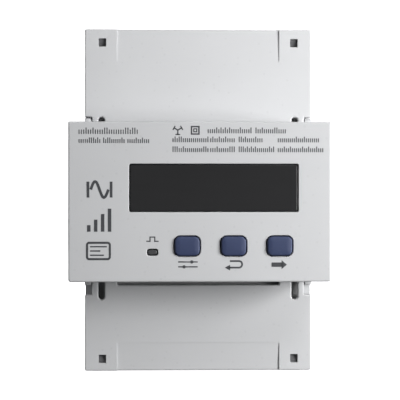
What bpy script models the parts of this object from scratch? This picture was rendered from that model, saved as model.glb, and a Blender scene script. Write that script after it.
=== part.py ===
"""Three-phase electricity meter, four modules wide, for a 35 mm rail.

The origin is the middle of the rail seat. +X is right and +Z is up as the meter hangs,
and the front panel faces -Y. Sizes are in millimetres, and new_object turns them into metres.
"""

import math

import bmesh
import bpy
from mathutils import Matrix, Vector

MM = 0.001
GAP = 0.3  # clearance between neighbouring pieces
WALL = 2.0  # case walls
PAST = 1.0  # how far a cutting solid runs past the face that it opens

# Outside of the case
WAIST_X = 36.0  # half width of the front housing, and of the case behind it
END_X = 33.2  # half width of the terminal ends
WAIST_Z = 21.95  # half height of the front housing
TOP_Z = 50.5
BOTTOM_Z = -49.5
WAIST_FILLET = 1.4
FRONT_Y = -60.0
SHOULDER_Y = -40.0  # face of the terminal covers
PARTING_Y = -38.0  # where the front housing meets the base
END_RIM_Y = -37.7  # rim of the base's side walls at the terminal ends
BACK_Y = 5.5

# Inside of the base
BAY_Z = WAIST_Z - WALL  # half height of the middle bay, between its partitions
PARTITION_Z = 21.9
RIM_INNER_Z = 23.35  # where the side walls step down behind the front housing
END_WALL_Y = -26.2  # top edge of the two end walls, under the covers' skirts
BAR_SLIT_Z = 22.5  # how far the bars' slits reach into the terminal bays
SNAP_WINDOW_Y = (-34.2, -30.8)
SNAP_WINDOW_HALF = 3.0
POST_RADIUS = 2.0
FLOOR_Y = -2.0
POCKET_Y = 3.5  # floor of the pockets behind the terminals

# Rail channel: the rail's front face rests on the seat at y = 0
SEAT_Z = 15.6
RELIEF = 0.4
HOOK_Z = 16.0
CHANNEL_TOP = 17.9
CHANNEL_BOTTOM = -18.5
HOOK_Y = 1.4

# Rail clip in its T-shaped slot
CLIP_X = 6.7
CLIP_WING_X = 8.7
CLIP_WING_Y = 2.9
CLIP_BACK_Y = 5.2
CLIP_END_Z = -49.2
PEG_Z = (-37.5, -35.5)
PEG_X = 1.9
CLIP_WINDOW_X = 2.4
CLIP_WINDOW_Z = (-43.0, -23.0)
SPRING_RADIUS = 1.35
SPRING_WIRE = 0.25
SPRING_TURNS = 6.5
SPRING_Y = 3.3
SPRING_STEPS = 78
WING_Z = (-46.0, -21.0)
TOOL_SLOT_X = 3.0
TOOL_SLOT_Z = (-47.6, -45.4)

# Terminal covers
COVER_THICK = 1.7
COVER_INNER_Z = 22.3
HINGE_Y = -38.9
HINGE_Z = 23.4
PIN_RADIUS = 0.5
EAR_X = 31.4
SKIRT_Y = -26.6
NOTCH_X = 31.1
SLOT_X = 28.35
SLOT_WIDTH = 1.9
WINDOW_X = 28.1
WINDOW_SIZE = (2.2, 2.4)
RAMP_X = 23.8
RAMP_STEP = 0.15  # depth of the ramp where it starts
RAMP_FALL = 0.45  # its depth at the end of the cover
INNER_CHAMFER = 0.4
OUTER_CHAMFER = 0.6
HOOK_WIDTH = 4.0
HOOK_HALF = 0.6
HOOK_TIP_Y = -34.5
HOOK_POCKET = 4.5
HOOK_POCKET_Y = -34.2

# Terminal blocks, screws and clamp cages
BLOCK_X = 30.9
BLOCK_INNER = 22.2
BLOCK_FRONT = -36.5
BLOCK_BACK = -14.5
NOSE_Y = (-26.3, -17.1)
CLAMP_INSET = 10.5  # from the end of the case to the clamp screws
CLAMP_X = (-24.0, -11.0, 2.0, 15.0)
CAGE = (4.6, 3.6)  # half width and half depth of a cage
CAGE_Y = (-27.4, -16.6)
CAGE_HOLE_Y = (-25.8, -18.2)
CAGE_HOLE_X = 3.6
CAGE_TRAVEL = 4.8
BAR_X = 3.2
BAR_Y = (-25.5, -24.0)
HEAD_RADIUS = 3.0
HEAD_Y = (-36.3, -34.0)
SHANK_RADIUS = 2.0
SHANK_Y = -25.8
RECESS_DEPTH = 1.4
RECESS_HALF = 0.5
SLOT_REACH = 2.5
CROSS_REACH = 1.9
ENTRY_X = 3.6
ENTRY_Y = (-24.3, -17.6)

# Small pluggable connectors
PLUG_Y = (-36.3, -18.0)
PLUG_INNER = 33.6  # distance of the connectors' inner end from the rail's centre line
PLUG_STEP = (-34.0, 3.5)  # step at the connectors' outer end, clear of the cover's hooks
SMALL_SCREW_RADIUS = 1.2
SMALL_SCREW_Y = (-36.1, -30.0)
SMALL_SCREW_INSET = 8.0  # from the end of the case to the small screws
SMALL_SLOT = (2.0, 0.25, 0.7)  # half length, half width, depth
SMALL_ENTRY = 1.2
SMALL_ENTRY_Y = (-24.4, -22.0)
DATA_SCREWS = (24.2, 28.4)
SENSOR_SCREWS = tuple(11.3 + 3.5 * i for i in range(6))

# Front panel
WINDOW_X_SPAN = (-19.4, 27.0)
WINDOW_Z_SPAN = (-2.8, 10.4)
BUTTON_X = (-3.5, 9.2, 21.85)
BUTTON_Z = -12.1
BUTTON_SIZE = (6.8, 5.2)
BUTTON_CORNER = 1.45
BUTTON_HOLE_GAP = 0.3
BUTTON_Y = (-60.9, -57.6)
BUTTON_TRAVEL = 0.8
PIPE_CENTRE = (-13.0, -13.8)
PIPE_SIZE = (2.45, 1.3)
PIPE_CORNER = 0.35
HOUSING_CORNER = 0.75
SNAP_Z = 11.0
TONGUE_HALF = 2.4
TONGUE_ROOT_Y = -42.0
TONGUE_STEPS = ((-0.3, -33.9), (1.3, -33.5), (-0.3, -31.1), (-1.7, -30.6))  # past the inner wall, y
PANE_BACK_Y = -57.3
FLANGE_Y = (-57.7, -56.7)
PANE_FLANGE = 1.3
PIPE_FLANGE = 0.75
KEY_FLANGE = 0.8
KEY_FLANGE_Y = -56.9
STEM_RADIUS = 1.5
STEM_Y = (-57.0, -55.0)

# Boards
DISPLAY_BOARD_Y = (-50.0, -48.8)
MAIN_BOARD_Y = (-11.6, -10.0)
BOARD_X = (31.5, 33.4)  # half widths of the display board and the main board
BOARD_Z = (19.2, 19.3)
SWITCH_HALF = 3.0
SWITCH_FRONT_Y = -53.4
SWITCH_BORE = (1.9, -51.2)
PLUNGER_RADIUS = 1.6
PLUNGER_Y = (-54.7, -52.3)
LCD_SPAN = ((-19.2, -56.1, -3.1), (26.8, -54.6, 10.7))
HOLDER_FRONT_Y = -56.4
HOLDER_X = (-21.2, 28.8)
HOLDER_Z = (-5.2, 12.8)
HOLDER_LIGHT = ((-17.5, -54.4, -1.4), (25.1, -51.8, 9.0))
LAMP_Y = (-53.1, -50.3)
NEUTRAL_END_Z = 6.0
NEUTRAL_TAB = (1.5, 7.5)  # half width, upper end
CAN_CENTRE = (26.0, 9.5)
CAN_RADIUS = 5.0
CAN_FRONT_Y = -28.0
CORE = ((9.5, -26.0, -17.5), (31.5, -0.5))
BOBBIN = ((8.0, -23.5, -14.0), (33.0, -4.0))
CHIP = ((-22.0, -13.4, -16.0), (-12.0, -6.0))
LINK_X = (22.0, 31.0)
LINK_Z = (17.2, 18.9)
TRANSFORMER_RING = (3.75, 6.1, 4.0)  # inner radius, outer radius, half height
POST_PLACES = ((-30.0, -16.0), (-30.0, 16.0), (30.0, -16.5), (5.0, 17.0))

FINISHES = {
    "grey_plastic": ((0.66, 0.66, 0.67), 0.55, 0.0),
    "pale_plastic": ((0.70, 0.70, 0.71), 0.5, 0.0),
    "blue_key": ((0.05, 0.065, 0.13), 0.6, 0.0),
    "dark_lens": ((0.02, 0.02, 0.022), 0.12, 0.0),
    "pipe_plastic": ((0.06, 0.06, 0.065), 0.3, 0.0),
    "black_plastic": ((0.03, 0.03, 0.03), 0.5, 0.0),
    "green_plastic": ((0.05, 0.22, 0.09), 0.5, 0.0),
    "zinc_steel": ((0.6, 0.6, 0.58), 0.35, 1.0),
    "copper": ((0.72, 0.4, 0.25), 0.35, 1.0),
    "board": ((0.02, 0.14, 0.06), 0.5, 0.0),
    "lcd_glass": ((0.35, 0.4, 0.33), 0.1, 0.0),
    "white_plastic": ((0.8, 0.8, 0.78), 0.5, 0.0),
    "led_red": ((0.6, 0.03, 0.02), 0.2, 0.0),
    "sleeve": ((0.04, 0.05, 0.12), 0.4, 0.0),
}


def clear_scene():
    """Remove whatever the file opened with."""
    for thing in list(bpy.data.objects):
        bpy.data.objects.remove(thing, do_unlink=True)


def finish_material(node, finish):
    """A Principled material of its own for one node."""
    colour, roughness, metallic = FINISHES[finish]
    material = bpy.data.materials.new(f"{node}_{finish}")
    material.use_nodes = True
    shader = material.node_tree.nodes["Principled BSDF"]
    shader.inputs["Base Color"].default_value = (*colour, 1.0)
    shader.inputs["Roughness"].default_value = roughness
    shader.inputs["Metallic"].default_value = metallic
    return material


def new_object(name, bm, origin=(0, 0, 0)):
    """An object from a solid in world millimetres, with its origin at a point of its own."""
    bmesh.ops.translate(bm, vec=-Vector(origin), verts=bm.verts)
    bmesh.ops.scale(bm, vec=Vector((MM, MM, MM)), verts=bm.verts)
    mesh = bpy.data.meshes.new(name)
    bm.to_mesh(mesh)
    bm.free()
    thing = bpy.data.objects.new(name, mesh)
    thing.location = Vector(origin) * MM
    bpy.context.collection.objects.link(thing)
    return thing


def refit(thing, adds=(), cuts=()):
    """Join solids to a piece, then cut others from it."""
    tools = []
    for operation, solids in (("UNION", adds), ("DIFFERENCE", cuts)):
        for solid in solids:
            tool = new_object(f"{thing.name}_tool", solid)
            step = thing.modifiers.new(operation.lower(), "BOOLEAN")
            step.operation = operation
            step.object = tool
            tools.append(tool)
    bpy.context.view_layer.update()
    graph = bpy.context.evaluated_depsgraph_get()
    mesh = bpy.data.meshes.new_from_object(thing.evaluated_get(graph))
    thing.modifiers.clear()
    thing.data = mesh
    for tool in tools:
        bpy.data.objects.remove(tool, do_unlink=True)


def piece(name, bm, finish, origin=(0, 0, 0), adds=(), cuts=()):
    """One node: a starting solid, the solids joined to it, then the solids cut from it."""
    thing = new_object(name, bm, origin)
    refit(thing, adds, cuts)
    mesh = thing.data
    mesh.shade_smooth()
    mesh.set_sharp_from_angle(angle=math.radians(35))
    mesh.materials.clear()
    mesh.materials.append(finish_material(name, finish))
    return thing


def again(name, source, finish, shift):
    """The same piece once more, moved by shift millimetres."""
    mesh = source.data.copy()
    mesh.materials.clear()
    mesh.materials.append(finish_material(name, finish))
    thing = bpy.data.objects.new(name, mesh)
    thing.location = source.location + Vector(shift) * MM
    bpy.context.collection.objects.link(thing)
    return thing


def box(low, high):
    """Closed box between two corners."""
    bm = bmesh.new()
    bmesh.ops.create_cube(bm, size=1.0)
    size = Vector(high) - Vector(low)
    bmesh.ops.scale(bm, vec=size, verts=bm.verts)
    bmesh.ops.translate(bm, vec=(Vector(high) + Vector(low)) / 2, verts=bm.verts)
    return bm


def prism(outline, axis, low, high):
    """An outline in the plane across an axis, carried from low to high along it."""
    spread = {
        "X": lambda a, b, c: (c, a, b),
        "Y": lambda a, b, c: (a, c, b),
        "Z": lambda a, b, c: (a, b, c),
    }[axis]
    bm = bmesh.new()
    face = bm.faces.new([bm.verts.new(spread(a, b, low)) for a, b in outline])
    grown = bmesh.ops.extrude_face_region(bm, geom=[face])
    moved = [part for part in grown["geom"] if isinstance(part, bmesh.types.BMVert)]
    bmesh.ops.translate(bm, vec=Vector(spread(0, 0, high - low)), verts=moved)
    bmesh.ops.recalc_face_normals(bm, faces=bm.faces)
    return bm


def turned(profile, centre, axis="Y", steps=20, ring=False):
    """A profile of (radius, place along the axis) swept round an axis through centre."""
    bm = bmesh.new()
    verts = [bm.verts.new((radius, 0, along)) for radius, along in profile]
    pairs = list(zip(verts, verts[1:]))
    if ring:
        pairs.append((verts[-1], verts[0]))
    edges = [bm.edges.new(pair) for pair in pairs]
    bmesh.ops.spin(bm, geom=verts + edges, axis=(0, 0, 1), cent=(0, 0, 0), angle=math.tau, steps=steps)
    bmesh.ops.remove_doubles(bm, verts=bm.verts, dist=0.001)
    bmesh.ops.recalc_face_normals(bm, faces=bm.faces)
    turn = {
        "X": Matrix.Rotation(math.radians(90), 3, "Y"),
        "Y": Matrix.Rotation(math.radians(-90), 3, "X"),
        "Z": Matrix.Identity(3),
    }[axis]
    bmesh.ops.rotate(bm, matrix=turn, verts=bm.verts)
    bmesh.ops.translate(bm, vec=Vector(centre), verts=bm.verts)
    return bm


def rod(radius, low, high, centre, axis="Y", steps=20):
    """Plain cylinder from low to high along the axis."""
    return turned([(0, low), (radius, low), (radius, high), (0, high)], centre, axis, steps)


def arc(centre, radius, start, end, steps):
    """Points of an arc, in degrees."""
    angles = [math.radians(start + (end - start) * i / steps) for i in range(steps + 1)]
    return [(centre[0] + radius * math.cos(a), centre[1] + radius * math.sin(a)) for a in angles]


def rounded(centre, size, corner, steps=3):
    """Outline of a rectangle with round corners."""
    half = (size[0] / 2 - corner, size[1] / 2 - corner)
    points = []
    for turn, (a, b) in enumerate(((1, 1), (-1, 1), (-1, -1), (1, -1))):
        middle = (centre[0] + a * half[0], centre[1] + b * half[1])
        points += arc(middle, corner, 90 * turn, 90 * turn + 90, steps)
    return points


def case_outline():
    """The base from the front: a wide waist that narrows to the two terminal ends."""
    centre_x = END_X + WAIST_FILLET
    high = WAIST_Z + WAIST_FILLET
    right = [(END_X, TOP_Z)] + arc((centre_x, high), WAIST_FILLET, 180, 270, 3)
    right += [(WAIST_X, WAIST_Z), (WAIST_X, -WAIST_Z)]
    right += arc((centre_x, -high), WAIST_FILLET, 90, 180, 3) + [(END_X, BOTTOM_Z)]
    left = [(-x, z) for x, z in reversed(right)]
    return right + left


def end_span(sign, inner, outer):
    """Low and high z of a stretch that is given as distances from the rail's centre line."""
    return (inner, outer) if sign > 0 else (-outer, -inner)


def end_box(sign, x_span, y_span, inner, outer):
    """Box in the upper (sign 1) or lower (sign -1) terminal end."""
    low, high = end_span(sign, inner, outer)
    return box((x_span[0], y_span[0], low), (x_span[1], y_span[1], high))


def end_of(sign):
    """Distance of the end face from the rail's centre line."""
    return TOP_Z if sign > 0 else -BOTTOM_Z


def base_case():
    """Rear shell: rail channel, hook and clip slot behind, three bays in front."""
    beyond = WAIST_X + PAST
    bay_x = WAIST_X - WALL
    end_x = END_X - WALL
    channel = [
        (BACK_Y + PAST, HOOK_Z + 1.5),
        (BACK_Y - 1.5, HOOK_Z),
        (HOOK_Y, HOOK_Z),
        (HOOK_Y, CHANNEL_TOP),
        (-RELIEF, CHANNEL_TOP),
        (-RELIEF, SEAT_Z),
        (0, SEAT_Z),
        (0, -SEAT_Z),
        (-RELIEF, -SEAT_Z),
        (-RELIEF, CHANNEL_BOTTOM),
        (BACK_Y + PAST, CHANNEL_BOTTOM),
    ]
    wide = CLIP_WING_X + GAP
    narrow = CLIP_X + GAP
    slot = [
        (-wide, HOOK_Y - GAP),
        (wide, HOOK_Y - GAP),
        (wide, CLIP_WING_Y + GAP),
        (narrow, CLIP_WING_Y + GAP),
        (narrow, BACK_Y + PAST),
        (-narrow, BACK_Y + PAST),
        (-narrow, CLIP_WING_Y + GAP),
        (-wide, CLIP_WING_Y + GAP),
    ]
    pocket_x = wide + WALL
    cuts = [
        box((-bay_x, PARTING_Y - PAST, -BAY_Z), (bay_x, FLOOR_Y, BAY_Z)),
        end_box(1, (-end_x, end_x), (PARTING_Y - PAST, POCKET_Y), PARTITION_Z, TOP_Z - WALL),
        end_box(-1, (-end_x, end_x), (PARTING_Y - PAST, FLOOR_Y), PARTITION_Z, -BOTTOM_Z - WALL),
        end_box(-1, (-end_x, -pocket_x), (FLOOR_Y - PAST, POCKET_Y), PARTITION_Z, -BOTTOM_Z - WALL),
        end_box(-1, (pocket_x, end_x), (FLOOR_Y - PAST, POCKET_Y), PARTITION_Z, -BOTTOM_Z - WALL),
        prism(channel, "X", -beyond, beyond),
        prism(slot, "Z", BOTTOM_Z - PAST, CHANNEL_BOTTOM + GAP),
    ]
    adds_after = [box((-PEG_X, HOOK_Y - PAST, PEG_Z[0]), (PEG_X, CLIP_BACK_Y - GAP, PEG_Z[1]))]
    for sign in (1, -1):
        end = end_of(sign)
        across = (-END_X - PAST, END_X + PAST)
        front = PARTING_Y - PAST
        cuts.append(end_box(sign, across, (front, END_RIM_Y), RIM_INNER_Z, end + PAST))
        cuts.append(end_box(sign, across, (front, END_WALL_Y), end - WALL, end + PAST))
        nose = (front, NOSE_Y[1] + GAP)
        cuts.append(end_box(sign, (-end_x, end_x), nose, end - WALL - PAST, end + PAST))
        for x in CLAMP_X if sign > 0 else CLAMP_X[:3]:
            slit = (x - BAR_X - GAP, x + BAR_X + GAP)
            cuts.append(end_box(sign, slit, (front, BAR_Y[1] + GAP), BAY_Z - 0.5, BAR_SLIT_Z))
        for side in (1, -1):
            adds_after.append(hinge_ear(sign, side))
    for side in (1, -1):
        low_x, high_x = sorted((side * (bay_x - 0.5), side * beyond))
        for z in (SNAP_Z, -SNAP_Z):
            low = (low_x, SNAP_WINDOW_Y[0], z - SNAP_WINDOW_HALF)
            cuts.append(box(low, (high_x, SNAP_WINDOW_Y[1], z + SNAP_WINDOW_HALF)))
    for x, z in POST_PLACES:
        adds_after.append(rod(POST_RADIUS, MAIN_BOARD_Y[1] + GAP, FLOOR_Y + 0.5, (x, 0, z), steps=12))
    shell = piece("base_case", prism(case_outline(), "Y", PARTING_Y, BACK_Y), "grey_plastic", cuts=cuts)
    refit(shell, adds_after, ear_bores())
    return shell


def hinge_ear(sign, side):
    """Round-topped ear on a side wall that holds a cover's pin."""
    radius = HINGE_Z - COVER_INNER_Z
    top = arc((HINGE_Y, HINGE_Z), radius, 270, 90, 6)
    outline = [(END_RIM_Y + 0.5, COVER_INNER_Z)] + top + [(END_RIM_Y + 0.5, HINGE_Z + radius)]
    outline = [(y, sign * z) for y, z in outline]
    low, high = sorted((side * EAR_X, side * END_X))
    return prism(outline, "X", low, high)


def ear_bores():
    """Bores for the covers' pins."""
    reach = END_X + PAST
    bores = []
    for sign in (1, -1):
        for side in (1, -1):
            low, high = sorted((side * (EAR_X - 0.1), side * reach))
            bores.append(rod(PIN_RADIUS + GAP, low, high, (0, HINGE_Y, sign * HINGE_Z), "X", 12))
    return bores


def front_housing():
    """Front shell with its window, key and light openings, and four snap tongues behind."""
    back = PARTING_Y - GAP
    inner_x = WAIST_X - WALL
    face_inner = FRONT_Y + WALL
    window_centre = [sum(WINDOW_X_SPAN) / 2, sum(WINDOW_Z_SPAN) / 2]
    window_size = [WINDOW_X_SPAN[1] - WINDOW_X_SPAN[0], WINDOW_Z_SPAN[1] - WINDOW_Z_SPAN[0]]
    cuts = [box((-inner_x, face_inner, -BAY_Z), (inner_x, back + PAST, BAY_Z))]
    cuts.append(prism(rounded(window_centre, window_size, 0.5, 1), "Y", FRONT_Y - PAST, face_inner + PAST))
    hole = [side + 2 * BUTTON_HOLE_GAP for side in BUTTON_SIZE]
    for x in BUTTON_X:
        outline = rounded((x, BUTTON_Z), hole, BUTTON_CORNER + BUTTON_HOLE_GAP)
        cuts.append(prism(outline, "Y", FRONT_Y - PAST, face_inner + PAST))
    pipe_hole = [side + 2 * GAP for side in PIPE_SIZE]
    cuts.append(prism(rounded(PIPE_CENTRE, pipe_hole, PIPE_CORNER + GAP, 2), "Y", FRONT_Y - PAST, face_inner + PAST))
    outline = rounded((0, 0), (2 * WAIST_X, 2 * WAIST_Z), HOUSING_CORNER)
    shell = piece("front_housing", prism(outline, "Y", FRONT_Y, back), "pale_plastic", cuts=cuts)
    tongues = []
    for side in (1, -1):
        for z in (SNAP_Z, -SNAP_Z):
            root = [(-1.7, TONGUE_ROOT_Y), (0.5, TONGUE_ROOT_Y), (0.5, back - GAP), (-GAP, back - GAP)]
            outline = [(side * (inner_x + past), y) for past, y in (*root, *TONGUE_STEPS)]
            tongues.append(prism(outline, "Z", z - TONGUE_HALF, z + TONGUE_HALF))
    refit(shell, tongues)
    return shell


def display_window():
    """Clear front pane with a flange behind the housing's face."""
    x_low, x_high = WINDOW_X_SPAN
    z_low, z_high = WINDOW_Z_SPAN
    pane = box((x_low + GAP, FRONT_Y + 0.1, z_low + GAP), (x_high - GAP, PANE_BACK_Y, z_high - GAP))
    low = (x_low - PANE_FLANGE, FLANGE_Y[0], z_low - PANE_FLANGE)
    flange = box(low, (x_high + PANE_FLANGE, FLANGE_Y[1], z_high + PANE_FLANGE))
    piece("display_window", pane, "dark_lens", adds=[flange])


def pulse_light_pipe():
    """Small light pipe from the indicator lamp to the panel."""
    outline = rounded(PIPE_CENTRE, PIPE_SIZE, PIPE_CORNER, 2)
    body = prism(outline, "Y", FRONT_Y + 0.1, LAMP_Y[0] - GAP)
    flange_size = [side + 2 * PIPE_FLANGE for side in PIPE_SIZE]
    outline = rounded(PIPE_CENTRE, flange_size, PIPE_CORNER + 0.1, 2)
    flange = prism(outline, "Y", FLANGE_Y[0], KEY_FLANGE_Y)
    piece("pulse_light_pipe", body, "pipe_plastic", adds=[flange])


def button(name, x):
    """Key cap with a retaining flange and a stem."""
    centre = (x, BUTTON_Z)
    cap = prism(rounded(centre, BUTTON_SIZE, BUTTON_CORNER, 4), "Y", BUTTON_Y[0], BUTTON_Y[1])
    flange_size = [side + 2 * KEY_FLANGE for side in BUTTON_SIZE]
    outline = rounded(centre, flange_size, BUTTON_CORNER, 4)
    flange = prism(outline, "Y", BUTTON_Y[1] - 0.1, KEY_FLANGE_Y)
    stem = rod(STEM_RADIUS, STEM_Y[0], STEM_Y[1], (x, 0, BUTTON_Z), steps=12)
    return piece(name, cap, "blue_key", origin=(x, FRONT_Y, BUTTON_Z), adds=[flange, stem])


def switch(name, x):
    """Tactile switch body on the display board, open in front for its plunger."""
    back = DISPLAY_BOARD_Y[0] - GAP
    low = (x - SWITCH_HALF, SWITCH_FRONT_Y, BUTTON_Z - SWITCH_HALF)
    body = box(low, (x + SWITCH_HALF, back, BUTTON_Z + SWITCH_HALF))
    bore = rod(SWITCH_BORE[0], SWITCH_FRONT_Y - PAST, SWITCH_BORE[1], (x, 0, BUTTON_Z), steps=12)
    piece(name, body, "black_plastic", cuts=[bore])


def plunger(name, x, key):
    """Switch plunger, pressed by the key's stem and moving with it."""
    body = rod(PLUNGER_RADIUS, PLUNGER_Y[0], PLUNGER_Y[1], (x, 0, BUTTON_Z), steps=12)
    thing = piece(name, body, "white_plastic", origin=(x, FRONT_Y, BUTTON_Z))
    thing.parent = key
    thing.matrix_parent_inverse = Matrix.Translation(-key.location)


def keys():
    """Three keys, each with its switch and plunger."""
    for name, x in zip(("set", "escape", "next"), BUTTON_X):
        cap = button(f"{name}_button", x)
        plunger(f"{name}_switch_plunger", x, cap)
        switch(f"{name}_switch", x)


def cover(name, sign, notch_end, slot_end, window_z, ramp_start, cut_back):
    """Hinged terminal cover: plate, skirt over the end, two pins and two snap hooks."""
    end = end_of(sign)
    back = SHOULDER_Y + COVER_THICK
    chamfer = INNER_CHAMFER
    side = [
        (SHOULDER_Y, COVER_INNER_Z + chamfer),
        (SHOULDER_Y + chamfer, COVER_INNER_Z),
        (back - chamfer, COVER_INNER_Z),
        (back, COVER_INNER_Z + chamfer),
        (back, end - COVER_THICK),
        (SKIRT_Y, end - COVER_THICK),
        (SKIRT_Y, end),
        (SHOULDER_Y + OUTER_CHAMFER, end),
        (SHOULDER_Y, end - OUTER_CHAMFER),
    ]
    plate = prism([(y, sign * z) for y, z in side], "X", -END_X, END_X)
    ramp = [
        (SHOULDER_Y - PAST, ramp_start),
        (SHOULDER_Y + RAMP_STEP, ramp_start),
        (SHOULDER_Y + RAMP_FALL, end + PAST),
        (SHOULDER_Y - PAST, end + PAST),
    ]
    cuts = [prism([(y, sign * z) for y, z in ramp], "X", -RAMP_X, RAMP_X)]
    through = (SHOULDER_Y - PAST, back + PAST)
    before = COVER_INNER_Z - PAST
    if cut_back:
        cuts.append(end_box(sign, (-RAMP_X, RAMP_X), through, before, cut_back))
    adds = []
    for way in (1, -1):
        span = sorted((way * NOTCH_X, way * (END_X + PAST)))
        cuts.append(end_box(sign, span, through, before, notch_end))
        straight = slot_end - SLOT_WIDTH / 2
        tip = arc((way * SLOT_X, sign * straight), SLOT_WIDTH / 2, 0, sign * 180, 6)
        mouth = sign * before
        outline = [(way * SLOT_X + SLOT_WIDTH / 2, mouth), *tip, (way * SLOT_X - SLOT_WIDTH / 2, mouth)]
        cuts.append(prism(outline, "Y", *through))
        half_x, half_z = WINDOW_SIZE[0] / 2, WINDOW_SIZE[1] / 2
        x = way * WINDOW_X
        blind = (SHOULDER_Y - PAST, back - 0.2)
        cuts.append(end_box(sign, (x - half_x, x + half_x), blind, window_z - half_z, window_z + half_z))
        hook_x = (x - HOOK_WIDTH / 2, x + HOOK_WIDTH / 2)
        hook_y = (back - HOOK_HALF, HOOK_TIP_Y)
        adds.append(end_box(sign, hook_x, hook_y, window_z - HOOK_HALF, window_z + HOOK_HALF))
        low, high = sorted((way * (NOTCH_X - 0.6), way * (END_X - 0.4)))
        adds.append(rod(PIN_RADIUS, low, high, (0, HINGE_Y, sign * HINGE_Z), "X", 12))
    thing = piece(name, plate, "grey_plastic", origin=(0, HINGE_Y, sign * HINGE_Z), cuts=cuts)
    refit(thing, adds)
    return thing


def terminal_block(name, sign, clamps, plug_x):
    """Moulded block with a chamber for each clamp and a bay for the small connector."""
    end = end_of(sign)
    inner = BLOCK_INNER
    shelf = end - WALL - GAP
    side = [
        (BLOCK_FRONT, inner),
        (BLOCK_FRONT, shelf),
        (NOSE_Y[0], shelf),
        (NOSE_Y[0], end),
        (NOSE_Y[1], end),
        (NOSE_Y[1], shelf),
        (BLOCK_BACK, shelf),
        (BLOCK_BACK, inner),
    ]
    body = prism([(y, sign * z) for y, z in side], "X", -BLOCK_X, BLOCK_X)
    middle = end - CLAMP_INSET
    chamber_x = CAGE[0] + GAP
    chamber_z = CAGE[1] + GAP
    chamber_y = (CAGE_Y[0] - CAGE_TRAVEL - GAP, CAGE_Y[1] + GAP)
    bay_x = (plug_x - GAP, BLOCK_X + PAST)
    bay_y = (BLOCK_FRONT - PAST, PLUG_Y[1] + GAP)
    cuts = [end_box(sign, bay_x, bay_y, PLUG_INNER - GAP, end + PAST)]
    for x in clamps:
        span = (x - chamber_x, x + chamber_x)
        cuts.append(end_box(sign, span, chamber_y, middle - chamber_z, middle + chamber_z))
        well = [
            (0, BLOCK_FRONT - PAST),
            (HEAD_RADIUS + GAP, BLOCK_FRONT - PAST),
            (HEAD_RADIUS + GAP, HEAD_Y[1] + GAP),
            (SHANK_RADIUS + GAP, HEAD_Y[1] + GAP),
            (SHANK_RADIUS + GAP, chamber_y[0] + PAST),
            (0, chamber_y[0] + PAST),
        ]
        cuts.append(turned(well, (x, 0, sign * middle)))
        entry = (x - ENTRY_X, x + ENTRY_X)
        cuts.append(end_box(sign, entry, ENTRY_Y, middle, end + PAST))
        slit = (x - BAR_X - GAP, x + BAR_X + GAP)
        cuts.append(end_box(sign, slit, (BAR_Y[0] - GAP, BAR_Y[1] + GAP), inner - PAST, middle))
    for way in (1, -1):
        x = way * WINDOW_X
        pocket_x = (x - HOOK_WIDTH / 2 - GAP, x + HOOK_WIDTH / 2 + GAP)
        pocket_y = (BLOCK_FRONT - PAST, HOOK_POCKET_Y)
        cuts.append(end_box(sign, pocket_x, pocket_y, shelf - HOOK_POCKET, shelf + PAST))
    piece(name, body, "black_plastic", cuts=cuts)


def clamp_parts():
    """The first clamp cage and clamp screw, in the place of the first upper clamp."""
    x = CLAMP_X[0]
    z = TOP_Z - CLAMP_INSET
    half_x, half_z = CAGE
    body = box((x - half_x, CAGE_Y[0], z - half_z), (x + half_x, CAGE_Y[1], z + half_z))
    hole_low = (x - CAGE_HOLE_X, CAGE_HOLE_Y[0], z - half_z - PAST)
    hole = box(hole_low, (x + CAGE_HOLE_X, CAGE_HOLE_Y[1], z + half_z + PAST))
    bore = rod(SHANK_RADIUS + GAP, CAGE_Y[0] - PAST, CAGE_HOLE_Y[0] + PAST, (x, 0, z), steps=16)
    origin = (x, CAGE_Y[0], z)
    cage = piece("upper_clamp_cage_1", body, "zinc_steel", origin=origin, cuts=[hole, bore])
    profile = [
        (0, HEAD_Y[0]),
        (HEAD_RADIUS - 0.4, HEAD_Y[0]),
        (HEAD_RADIUS, HEAD_Y[0] + 0.4),
        (HEAD_RADIUS, HEAD_Y[1]),
        (SHANK_RADIUS, HEAD_Y[1]),
        (SHANK_RADIUS, SHANK_Y),
        (0, SHANK_Y),
    ]
    head = turned(profile, (x, 0, z), steps=16)
    before, floor = HEAD_Y[0] - PAST, HEAD_Y[0] + RECESS_DEPTH
    slot = box((x - SLOT_REACH, before, z - RECESS_HALF), (x + SLOT_REACH, floor, z + RECESS_HALF))
    cross = box((x - RECESS_HALF, before, z - CROSS_REACH), (x + RECESS_HALF, floor, z + CROSS_REACH))
    screw = piece("upper_clamp_screw_1", head, "zinc_steel", origin=(x, HEAD_Y[0], z), cuts=[slot, cross])
    return cage, screw


def clamps():
    """Four clamps above and three below, each a screw and the cage that it draws up."""
    cage, screw = clamp_parts()
    drop = BOTTOM_Z - TOP_Z + 2 * CLAMP_INSET
    for i, x in enumerate(CLAMP_X[1:], 2):
        shift = (x - CLAMP_X[0], 0, 0)
        again(f"upper_clamp_cage_{i}", cage, "zinc_steel", shift)
        again(f"upper_clamp_screw_{i}", screw, "zinc_steel", shift)
    for i, x in enumerate(CLAMP_X[:3], 1):
        shift = (x - CLAMP_X[0], 0, drop)
        again(f"lower_clamp_cage_{i}", cage, "zinc_steel", shift)
        again(f"lower_clamp_screw_{i}", screw, "zinc_steel", shift)


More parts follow.
